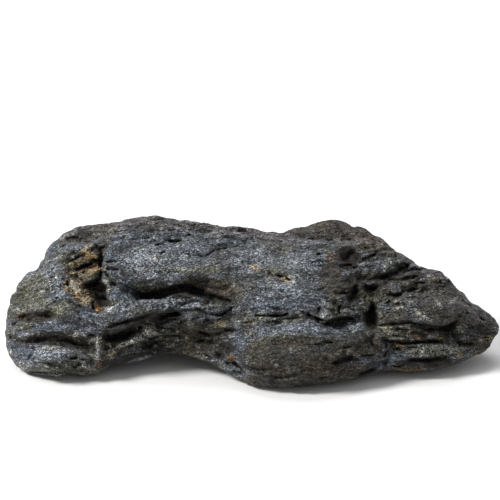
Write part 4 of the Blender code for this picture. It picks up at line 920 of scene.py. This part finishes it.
def layers(piece, depth):
    """Shingled layers, lens-shaped lumps with creases between them, and grain, all along the rock's beds."""
    points, normals = points_of(piece), normals_of(piece)
    shown = FRONT.facing(normals)
    drawn = FRONT.drawn(points)
    beds = bed_heights_of(piece)
    rough = 1 - shown * amount_of(drawn + 1.5 * wander(drawn), "worn")
    rim = 0.25 + 0.75 * smooth_step(0.1, 0.6, np.abs(normals @ FRONT.out))
    push = np.empty(len(points))
    for i, (x, y, z) in enumerate(points):
        bed = beds[i] + BEND_DEPTH * waves(x, y, z, *BENDS)
        lens = abs(waves(x, y, bed, *LENSES)) - LENS_MEAN
        small = abs(waves(x, y, bed, *SMALL_LENSES)) - LENS_MEAN
        rise = bed / SHINGLE_THICK + 0.9 * waves(x, y, bed, *SHINGLE_BENDS)
        there = min(max(0.5 + 2.2 * waves(x, y, bed, *SHINGLE_PLACES), 0), 1)
        shingle = (1 - rise % 1) * there - SHINGLE_MEAN
        push[i] = rough[i] * (LENS_DEPTH * lens + SHINGLE_DEPTH * shingle)
        push[i] += (0.2 + 0.8 * rough[i]) * SMALL_DEPTH * small
        push[i] += GRAIN_DEPTH * waves(x, y, bed, *GRAINS) + SWELL_DEPTH * waves(x, y, bed, *SWELLS)
    place(piece, points + normals * (push * rim * depth)[:, None])


def lighten(piece, faces):
    """Brings the mesh down to a number of triangles, keeping them where the shape turns."""
    piece.data.calc_loop_triangles()
    have = len(piece.data.loop_triangles)
    if have > faces:
        fewer = piece.modifiers.new("fewer_faces", "DECIMATE")
        fewer.use_collapse_triangulate = True
        fewer.ratio = faces / have
        apply_modifiers(piece)


def stay_inside(piece, low, high):
    """Keeps the piece in its box, and flat where it rests."""
    points = np.clip(points_of(piece), low, high)
    points[:, 2] = np.maximum(points[:, 2], 0)
    place(piece, points)


def smoothed(points, edges, rounds):
    """The points after each has moved halfway to the mean of its neighbours, rounds times."""
    a, b = edges[:, 0], edges[:, 1]
    count = np.maximum(np.bincount(a, minlength=len(points)) + np.bincount(b, minlength=len(points)), 1)
    for _ in range(rounds):
        total = [
            np.bincount(a, points[b, axis], len(points)) + np.bincount(b, points[a, axis], len(points))
            for axis in range(3)
        ]
        points = 0.5 * points + 0.5 * np.column_stack(total) / count[:, None]
    return points


def hollowness(piece):
    """How far each point lies below its surroundings, near and wide, in millimetres."""
    points, normals = points_of(piece), normals_of(piece)
    edges = np.empty(len(piece.data.edges) * 2, np.int32)
    piece.data.edges.foreach_get("vertices", edges)
    edges = edges.reshape(-1, 2)
    near = smoothed(points, edges, NEAR_ROUNDS)
    wide = smoothed(near, edges, WIDE_ROUNDS)
    return ((near - points) * normals).sum(1), ((wide - points) * normals).sum(1)


def paint(piece, name, values):
    """Keeps a number for each point of the piece, for its material to read."""
    layer = piece.data.attributes.new(name, "FLOAT", "POINT")
    layer.data.foreach_set("value", np.asarray(values, np.float32))


# Materials


class Wire:
    """A socket that takes part in sums: each sum adds its Math node."""

    def __init__(self, nodes, socket):
        self.nodes, self.socket = nodes, socket

    def math(self, operation, *others, first=None):
        values = [self, *others] if first is None else [first, self, *others]
        return self.nodes.add("ShaderNodeMath", {"operation": operation}, dict(enumerate(values)))

    def __add__(self, other):
        return self.math("ADD", other)

    __radd__ = __add__

    def __sub__(self, other):
        return self.math("SUBTRACT", other)

    def __rsub__(self, other):
        return self.math("SUBTRACT", first=other)

    def __mul__(self, other):
        return self.math("MULTIPLY", other)

    __rmul__ = __mul__

    def __abs__(self):
        return self.math("ABSOLUTE")

    def clamped(self):
        return self.math("MINIMUM", 1.0).math("MAXIMUM", 0.0)

    def step(self, low, high):
        """0 up to low, 1 from high, and smooth between."""
        inputs = {"Value": self, "From Min": low, "From Max": high}
        return self.nodes.add("ShaderNodeMapRange", {"interpolation_type": "SMOOTHSTEP"}, inputs)


class Nodes:
    """The nodes of one material."""

    def __init__(self, name):
        self.material = bpy.data.materials.new(name)
        self.material.use_nodes = True
        self.tree = self.material.node_tree
        self.shader = self.tree.nodes["Principled BSDF"]

    def feed(self, socket, value):
        if isinstance(value, Wire):
            self.tree.links.new(value.socket, socket)
        elif hasattr(socket.default_value, "__len__") and len(socket.default_value) == 4 and len(value) == 3:
            socket.default_value = (*value, 1)
        else:
            socket.default_value = value

    def add(self, kind, settings=None, inputs=None, out=0):
        node = self.tree.nodes.new(kind)
        for name, value in (settings or {}).items():
            setattr(node, name, value)
        for key, value in (inputs or {}).items():
            self.feed(node.inputs[key], value)
        return Wire(self, node.outputs[out])

    def mixed(self, share, first, second, blend="MIX"):
        settings = {"data_type": "RGBA", "blend_type": blend, "clamp_factor": True}
        return self.add("ShaderNodeMix", settings, {0: share, 6: first, 7: second}, 2)

    def painted(self, name):
        return self.add("ShaderNodeAttribute", {"attribute_name": name}, out=2)

    def stretched(self, place, sizes):
        """The place in units of the three sizes."""
        inputs = {0: place, 1: [1 / size for size in sizes]}
        return self.add("ShaderNodeVectorMath", {"operation": "MULTIPLY"}, inputs)

    def cloud(self, place, sizes, detail, roughness=0.5):
        """Noise around 0.5 whose waves have the three sizes."""
        inputs = dict(Vector=self.stretched(place, sizes), Scale=1.0, Detail=detail, Roughness=roughness)
        return self.add("ShaderNodeTexNoise", {}, inputs)

    def cells(self, place, out):
        """Grains one unit wide: the distance from the middle of each (out 0), or its chance colour (1)."""
        return self.add("ShaderNodeTexVoronoi", {}, {"Vector": place, "Scale": 1.0}, out)

    def flakes(self, place, sizes, edge, channel, chosen):
        """Grains that fade out between the edge figures, and only those that one chance colour chooses."""
        place = self.stretched(place, sizes)
        return (1 - self.cells(place, 0).step(*edge)) * self.part(self.cells(place, 1), channel).step(*chosen)

    def part(self, vector, index):
        return self.add("ShaderNodeSeparateXYZ", {}, {0: vector}, index)

    def joined(self, *parts):
        return self.add("ShaderNodeCombineXYZ", {}, dict(enumerate(parts)))


def schist(settings):
    """Dark slate blue-grey rock with olive streaks, hollows in painted shade, rusty stains and pale mica
    grains.
    """
    nodes = Nodes("dark_schist_surface")
    place = nodes.add("ShaderNodeTexCoord", out=3)
    place = nodes.add("ShaderNodeVectorMath", {"operation": "SCALE"}, {0: place, "Scale": 1 / MM})
    beds = nodes.painted("bed")
    where = nodes.joined(nodes.part(place, 0), nodes.part(place, 1), beds)
    up = nodes.part(nodes.add("ShaderNodeNewGeometry", out=1), 2)
    near, wide = nodes.painted("hollow_near"), nodes.painted("hollow_wide")
    smooth, khaki, dusk, black_shadow, pale = map(nodes.painted, ("worn", "khaki", "dusk", "black_shadow", "pale"))

    # Patterns, from broad to fine. Their sizes are along the stone, through it, and across its layers
    broad = nodes.cloud(where, (19, 15, 8), 3)
    patch = nodes.cloud(where, (7.5, 6, 2.6), 3, 0.6)
    streak = nodes.cloud(where, (4.2, 3.4, 1.2), 3, 0.65)
    mottle = nodes.cloud(place, (2.6, 2.4, 2.2), 3, 0.65)
    streak = streak + (mottle - streak) * smooth.step(0.1, 0.6) * 0.8
    grain = nodes.cloud(where, (1.15, 1.0, 0.72), 2, 0.6)
    sand = nodes.cloud(place, (0.52, 0.5, 0.45), 1)
    ragged = 0.5 - mottle * 0.4 - patch * 0.3 - grain * 0.3
    # The dark brown tone, partly painted shade, and the black tone, painted shadow, fray at their edges
    dusk = (dusk * 1.5 + ragged * 3.0).step(0.12, 1.1) * dusk.step(0.0, 0.1)
    black_shadow = (black_shadow * 1.9 + ragged * 4.5).step(0.3, 1.0) * black_shadow.step(0.0, 0.12)

    # The rock: blue slate and mist, with olive streaks, more of them low down; what faces down is tinted
    # olive as painted shade
    colour = nodes.mixed((patch * 0.6 + streak * 0.4).step(0.38, 0.62), settings.slate, settings.mist)
    facing_down_shade = (0.1 - up).step(-0.2, 0.9)
    greener = ((broad - 0.5) * 2.6 + (streak - 0.5) * 2.4 + khaki * 0.7 + facing_down_shade * 0.5 + 0.1).step(-0.1, 0.75)
    green = nodes.mixed(patch.step(0.4, 0.6), settings.olive, settings.moss)
    colour = nodes.mixed(greener * 0.85, colour, green)
    blue = nodes.painted("blue") * (patch * 0.6 + mottle * 0.4).step(0.38, 0.54) * 0.9
    colour = nodes.mixed(blue, colour, settings.blue)
    colour = nodes.mixed(nodes.painted("rim") * patch.step(0.35, 0.6) * 0.8, colour, settings.reddish)

    # Worn edges, rubbed places and painted highlights: ridges, smooth places and the pale tone are painted
    # paler, partly as wear and partly as painted highlight
    worn = (0.0 - near).step(0.06, 0.5) * 0.5 + smooth * 0.45
    worn = worn * 0.75 * streak.step(0.36, 0.6) + pale * 0.75 * (patch * 0.5 + grain * 0.5).step(0.36, 0.6)
    pale_and_highlight_colour = nodes.mixed(khaki * 0.6, settings.pale, settings.pale_khaki_highlight)
    colour = nodes.mixed(worn.clamped() * (1 - dusk * 0.8), colour, pale_and_highlight_colour)

    # Stains
    ochre = nodes.painted("ochre") * (patch + grain * 0.5).step(0.45, 0.85)
    paler = (mottle * 0.6 + grain * 0.4 + pale * 0.16).step(0.46, 0.64) * 0.8
    colour = nodes.mixed(ochre, colour, nodes.mixed(paler, settings.ochre, settings.straw))
    rust = nodes.painted("rust") * (streak + grain * 0.5).step(0.5, 0.8)
    colour = nodes.mixed(rust, colour, settings.rust)
    # Pale quartz grains, some of them painted glints
    quartz_and_glint = nodes.painted("quartz_and_glint") * (streak * 0.4 + grain * 0.6).step(0.36, 0.54)

    # Painted shade: hollows, creases and recesses are painted dark brown and black where shade falls, and the
    # brown gets dark pits
    umber_and_shade = nodes.mixed(streak.step(0.42, 0.62), settings.crevice_shade, settings.umber_and_shade)
    lit = (mottle * 0.5 + grain * 0.5).step(0.44, 0.6)
    colour = nodes.mixed(dusk * (0.98 - lit * (0.85 - dusk * 0.4)), colour, umber_and_shade)
    hollow_shade = (near.step(0.04, 0.7) + wide.step(2.0, 7.0) * 0.35).clamped()
    colour = nodes.mixed(hollow_shade * (0.9 - dusk * 0.54), colour, settings.crevice_shade)
    # Dark pits in the brown tone join the painted shadow
    pits = dusk.step(0.1, 0.7) * (0.5 - streak * 0.4 - grain * 0.6).step(-0.015, 0.055)
    black_shadow = (black_shadow + pits * 0.8).clamped()
    colour = nodes.mixed(black_shadow, colour, settings.gap)
    colour = nodes.mixed(quartz_and_glint, colour, settings.quartz_and_glint)

    # Dark and pale mineral grains, and the dark lines of creases and splits
    speck = nodes.part(nodes.cells(nodes.stretched(where, (0.62, 0.56, 0.5)), 1), 0)
    crease = abs(nodes.cloud(where, (3.6, 3, 1.2), 2, 0.6) - 0.5)
    split = abs(nodes.cloud(where, (6.5, 5, 1.7), 3, 0.55) - 0.5)
    lines = 1 - (1 - crease.step(0.0, 0.04) * split.step(0.0, 0.035)) * (0.7 - smooth * 0.4)
    shade = (grain - 0.5) * 6.4 + (sand - 0.5) * 7.4 + (speck - 0.5) * 4.6 + (streak - 0.5) * 1.4 + 0.15
    shade = (shade * (1 - ochre * 0.4 - quartz_and_glint * 0.4) + 1).math("MAXIMUM", 0.1) * lines
    colour = nodes.mixed(1.0, colour, nodes.joined(shade, shade, shade), "MULTIPLY")

    # Mica, in small and large flakes that lie in clusters, painted as glints: brighter in worn and
    # highlighted places, fewer in the painted shade of hollows
    clusters = (patch * 0.5 + streak * 0.5).step(0.42, 0.62) * 0.8 + 0.2
    small = nodes.flakes(where, (0.95, 0.8, 0.6), (0.22, 0.48), 0, (0.55, 1.0))
    large = nodes.flakes(where, (1.9, 1.5, 1.0), (0.14, 0.34), 1, (0.76, 0.9))
    mica_and_glint = (small * 0.85 + large) * clusters * (1 - hollow_shade * 0.7) * (1 - black_shadow) * (1 - dusk * 0.45)
    mica_and_glint = mica_and_glint * (smooth * 0.5 + pale * 0.5 + 0.7)
    colour = nodes.mixed(mica_and_glint.clamped(), colour, nodes.mixed(greener, settings.mica, settings.straw))
    nodes.feed(nodes.shader.inputs["Base Color"], colour)

    rough = 0.58 - mica_and_glint * 0.25 + (grain - 0.5) * 0.4 + hollow_shade * 0.35
    nodes.feed(nodes.shader.inputs["Roughness"], rough.clamped())

    # Relief too fine for the mesh: grains, tilted facets and small creases along the beds
    tilt = nodes.part(nodes.cells(nodes.stretched(where, (1.9, 1.6, 1.0)), 1), 1)
    height = grain * 0.9 + sand * 0.3 + crease.step(0.0, 0.1) * 0.5 + split.step(0.0, 0.07) * 0.5
    height = height + tilt * 0.45 + speck * 0.2 + streak * 0.6
    inputs = {"Strength": 1.0, "Distance": settings.grain_depth, "Height": height}
    nodes.feed(nodes.shader.inputs["Normal"], nodes.add("ShaderNodeBump", {}, inputs))
    return nodes.material


def floor_paper(settings):
    """Matt white paper with the faintest tooth."""
    nodes = Nodes("white_paper")
    tooth = nodes.cloud(nodes.add("ShaderNodeTexCoord", out=3), [2 * MM] * 3, 2)
    colour = nodes.mixed(tooth, settings.floor, [0.985 * c for c in settings.floor])
    nodes.feed(nodes.shader.inputs["Base Color"], colour)
    nodes.feed(nodes.shader.inputs["Roughness"], 0.9 + tooth * 0.05)
    nodes.feed(nodes.shader.inputs["Specular IOR Level"], 0.06)
    return nodes.material


# What a user may change


def colour_of(name, description, value):
    return bpy.props.FloatVectorProperty(
        name=name, description=description, default=value, subtype="COLOR", size=3, min=0, max=1
    )


class StoneSettings(bpy.types.PropertyGroup):
    """Sizes and colours of the stone's skin."""

    cell: bpy.props.FloatProperty(
        name="Cell", description="Width of one face of the skin before it is lightened",
        default=0.00068, min=0.0003, max=0.004, precision=5, unit="LENGTH",
    )
    facet_rounds: bpy.props.IntProperty(
        name="Facet rounds", description="How often the solid's facets are smoothed", default=9, min=0, max=60
    )
    layer_depth: bpy.props.FloatProperty(
        name="Layer depth", description="Depth of the fine layers and creases, as a share of the usual",
        default=1.0, min=0, max=3, subtype="FACTOR",
    )
    faces: bpy.props.IntProperty(
        name="Triangles", description="Most triangles of the finished skin",
        default=192000, min=20000, max=199000,
    )
    grain_depth: bpy.props.FloatProperty(
        name="Grain depth", description="Height of the grain on the surface",
        default=0.0009, min=0, max=0.003, precision=5, unit="LENGTH",
    )
    slate: colour_of("Slate", "The rock's dark grey", (0.0225, 0.0260, 0.0355))
    mist: colour_of("Mist", "The rock's paler blue-grey", (0.076, 0.091, 0.114))
    blue: colour_of("Blue", "The rock where it is bluer", (0.0455, 0.0645, 0.0960))
    moss: colour_of("Moss", "The rock where it is greener", (0.078, 0.074, 0.041))
    # The pale colours serve worn edges and also painted highlights
    pale: colour_of("Pale", "Worn edges", (0.190, 0.211, 0.238))
    pale_khaki_highlight: colour_of("Lichen", "Worn edges where the rock is khaki", (0.21, 0.21, 0.155))
    # Umber is the dark brown tone, partly painted shade in the hollows
    umber_and_shade: colour_of("Umber", "Dark brown of the hollows", (0.046, 0.0300, 0.0130))
    # Olive also tints what faces down, as painted shade
    olive: colour_of("Olive", "Dark green of streaks, and of what faces down", (0.033, 0.029, 0.016))
    reddish: colour_of("Reddish", "The upper rim", (0.085, 0.058, 0.050))
    ochre: colour_of("Ochre", "Stain in the pocket", (0.25, 0.155, 0.044))
    straw: colour_of("Straw", "The palest stain", (0.36, 0.30, 0.155))
    rust: colour_of("Rust", "Iron stain", (0.140, 0.062, 0.014))
    # Crevice is painted shade deep in the creases and hollows
    crevice_shade: colour_of("Crevice", "Deep in the creases", (0.0145, 0.0112, 0.0065))
    # Gap is painted shadow in the blackest gaps and holes
    gap: colour_of("Gap", "The blackest gaps", (0.0062, 0.0046, 0.0026))
    # Quartz is bare quartz and also painted glints
    quartz_and_glint: colour_of("Quartz", "Bare quartz", (0.40, 0.385, 0.34))
    # Mica grains are painted bright as glints
    mica: colour_of("Mica", "Mica grains", (0.80, 0.82, 0.82))


class StageSettings(bpy.types.PropertyGroup):
    """The floor, the light and the camera."""

    floor: colour_of("Floor", "Colour of the floor", (0.70, 0.70, 0.70))
    key_power: bpy.props.FloatProperty(
        name="Key", description="Power of the softbox over the stone", default=22.0, min=0, unit="POWER"
    )
    key_size: bpy.props.FloatProperty(
        name="Softbox", description="Width of the softbox", default=0.4, min=0.05, unit="LENGTH"
    )
    sky: bpy.props.FloatProperty(
        name="Room light", description="Strength of the even light of the room", default=0.6, min=0
    )
    distance: bpy.props.FloatProperty(
        name="Camera distance", description="From the camera to the stone",
        default=2.4, min=0.5, unit="LENGTH",
    )
    width: bpy.props.FloatProperty(
        name="Picture width", description="What the picture is wide at the stone's outline",
        default=0.25, min=0.05, unit="LENGTH",
    )


# The pieces


class STONE_OT_skin(bpy.types.Operator):
    """Make the stone's weathered skin from its solid"""

    bl_idname = "stone.skin"
    bl_label = "Stone skin"

    def execute(self, context):
        settings = context.scene.stone_skin
        piece = bpy.data.objects.new("stone_skin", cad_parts[NODE].data.copy())
        context.scene.collection.objects.link(piece)
        piece.data.materials.clear()
        piece.data.transform(Matrix.Scale(1 / MM, 4))
        self.shape(piece, settings)
        self.colour(piece)
        piece.data.transform(Matrix.Scale(MM, 4))
        piece.data.polygons.foreach_set("use_smooth", [True] * len(piece.data.polygons))
        piece.data.materials.append(schist(settings))
        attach(piece, "root")
        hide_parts(NODE)
        return {"FINISHED"}

    def shape(self, piece, settings):
        low, high = points_of(piece).min(0), points_of(piece).max(0)
        even_out(piece, settings.cell / MM, settings.facet_rounds)
        layers(piece, settings.layer_depth)
        work(piece, FRONT, SHOW_FACE)
        work(piece, BACK, REAR_FACE)
        stay_inside(piece, low, high)
        lighten(piece, settings.faces)

    def colour(self, piece):
        """Keeps on the piece what its material reads: hollows for painted shade, beds, painted tones and the
        upper rim.
        """
        near, wide = hollowness(piece)
        paint(piece, "hollow_near", near)
        paint(piece, "hollow_wide", wide)
        paint(piece, "bed", bed_heights_of(piece))
        points = points_of(piece)
        drawn, shown = FRONT.drawn(points), smooth_step(*PAINT_SHOWN, normals_of(piece) @ FRONT.out)
        frayed = ragged(drawn)
        for tone in PAINT:
            paint(piece, tone, amount_of(frayed, tone) * shown)
        above = drawn[:, 1] - np.interp(drawn[:, 0], RIM_X, RIM_H)
        paint(piece, "rim", smooth_step(*RIM_FADES_IN, above) * smooth_step(*RIM_STARTS_AT, points[:, 1]))


class STONE_OT_stage(bpy.types.Operator):
    """Lay the floor, hang the lights and set up the camera"""

    bl_idname = "stone.stage"
    bl_label = "Stage"

    def execute(self, context):
        scene, settings = context.scene, context.scene.stone_stage
        scene.view_settings.view_transform = "Standard"
        scene.view_settings.look = "None"
        self.lay_floor(scene, settings)
        self.hang_lights(scene, settings)
        self.place_camera(scene, settings)
        return {"FINISHED"}

    def lay_floor(self, scene, settings):
        mesh = bpy.data.meshes.new("floor")
        corners = [(x * FLOOR_HALF, y * FLOOR_HALF, 0) for x, y in ((-1, -1), (1, -1), (1, 1), (-1, 1))]
        mesh.from_pydata(corners, [], [(0, 1, 2, 3)])
        mesh.materials.append(floor_paper(settings))
        floor = bpy.data.objects.new("floor", mesh)
        scene.collection.objects.link(floor)

    def hang_lights(self, scene, settings):
        world = bpy.data.worlds.new("studio_room")
        world.use_nodes = True
        world.node_tree.nodes["Background"].inputs["Color"].default_value = (1.0, 1.0, 1.0, 1)
        world.node_tree.nodes["Background"].inputs["Strength"].default_value = settings.sky
        scene.world = world
        for name, spot, size, power, tint in (
            ("key_softbox", KEY_PLACE, settings.key_size, settings.key_power, (1.0, 0.99, 0.97)),
            ("top_softbox", TOP_PLACE, TOP_SIZE, TOP_SHARE * settings.key_power, (0.97, 0.98, 1.0)),
        ):
            lamp = bpy.data.lights.new(name, "AREA")
            lamp.shape = "DISK"
            lamp.size = size
            lamp.energy = power
            lamp.color = tint
            holder = bpy.data.objects.new(name, lamp)
            scene.collection.objects.link(holder)
            holder.location = spot
            holder.rotation_mode = "QUATERNION"
            holder.rotation_quaternion = (Vector(STONE_MIDDLE) - Vector(spot)).to_track_quat("-Z", "Y")

    def place_camera(self, scene, settings):
        """Looks square at the display plane. The outline lies a little behind that plane's foot."""
        back, up = Vector(FRONT.out), Vector(FRONT.up)
        aim = Vector(FRONT.origin) * MM + Vector((AIM[0], 0, 0)) + up * AIM[1]
        camera = bpy.data.objects.new("camera", bpy.data.cameras.new("camera"))
        scene.collection.objects.link(camera)
        camera.location = aim + back * settings.distance
        camera.rotation_mode = "QUATERNION"
        camera.rotation_quaternion = (-back).to_track_quat("-Z", "Y")
        camera.data.sensor_width = SENSOR
        camera.data.lens = SENSOR * (settings.distance + OUTLINE_DEPTH) / settings.width
        camera.data.clip_end = 60
        scene.camera = camera


class STONE_PT_panel(bpy.types.Panel):
    """The stone's sizes, colours and pieces"""

    bl_idname = "STONE_PT_panel"
    bl_label = "Viewing stone"
    bl_space_type = "VIEW_3D"
    bl_region_type = "UI"
    bl_category = "Stone"

    def draw(self, context):
        layout = self.layout
        for settings, operator in (("stone_skin", "stone.skin"), ("stone_stage", "stone.stage")):
            group = getattr(context.scene, settings)
            for name in group.__annotations__:
                layout.prop(group, name)
            layout.operator(operator)


CLASSES = (StoneSettings, StageSettings, STONE_OT_skin, STONE_OT_stage, STONE_PT_panel)


def register():
    for cls in CLASSES:
        bpy.utils.register_class(cls)
    bpy.types.Scene.stone_skin = bpy.props.PointerProperty(type=StoneSettings)
    bpy.types.Scene.stone_stage = bpy.props.PointerProperty(type=StageSettings)


def unregister():
    del bpy.types.Scene.stone_stage
    del bpy.types.Scene.stone_skin
    for cls in reversed(CLASSES):
        bpy.utils.unregister_class(cls)


def main():
    register()
    bpy.ops.stone.skin()
    bpy.ops.stone.stage()


if __name__ == "__main__":
    main()
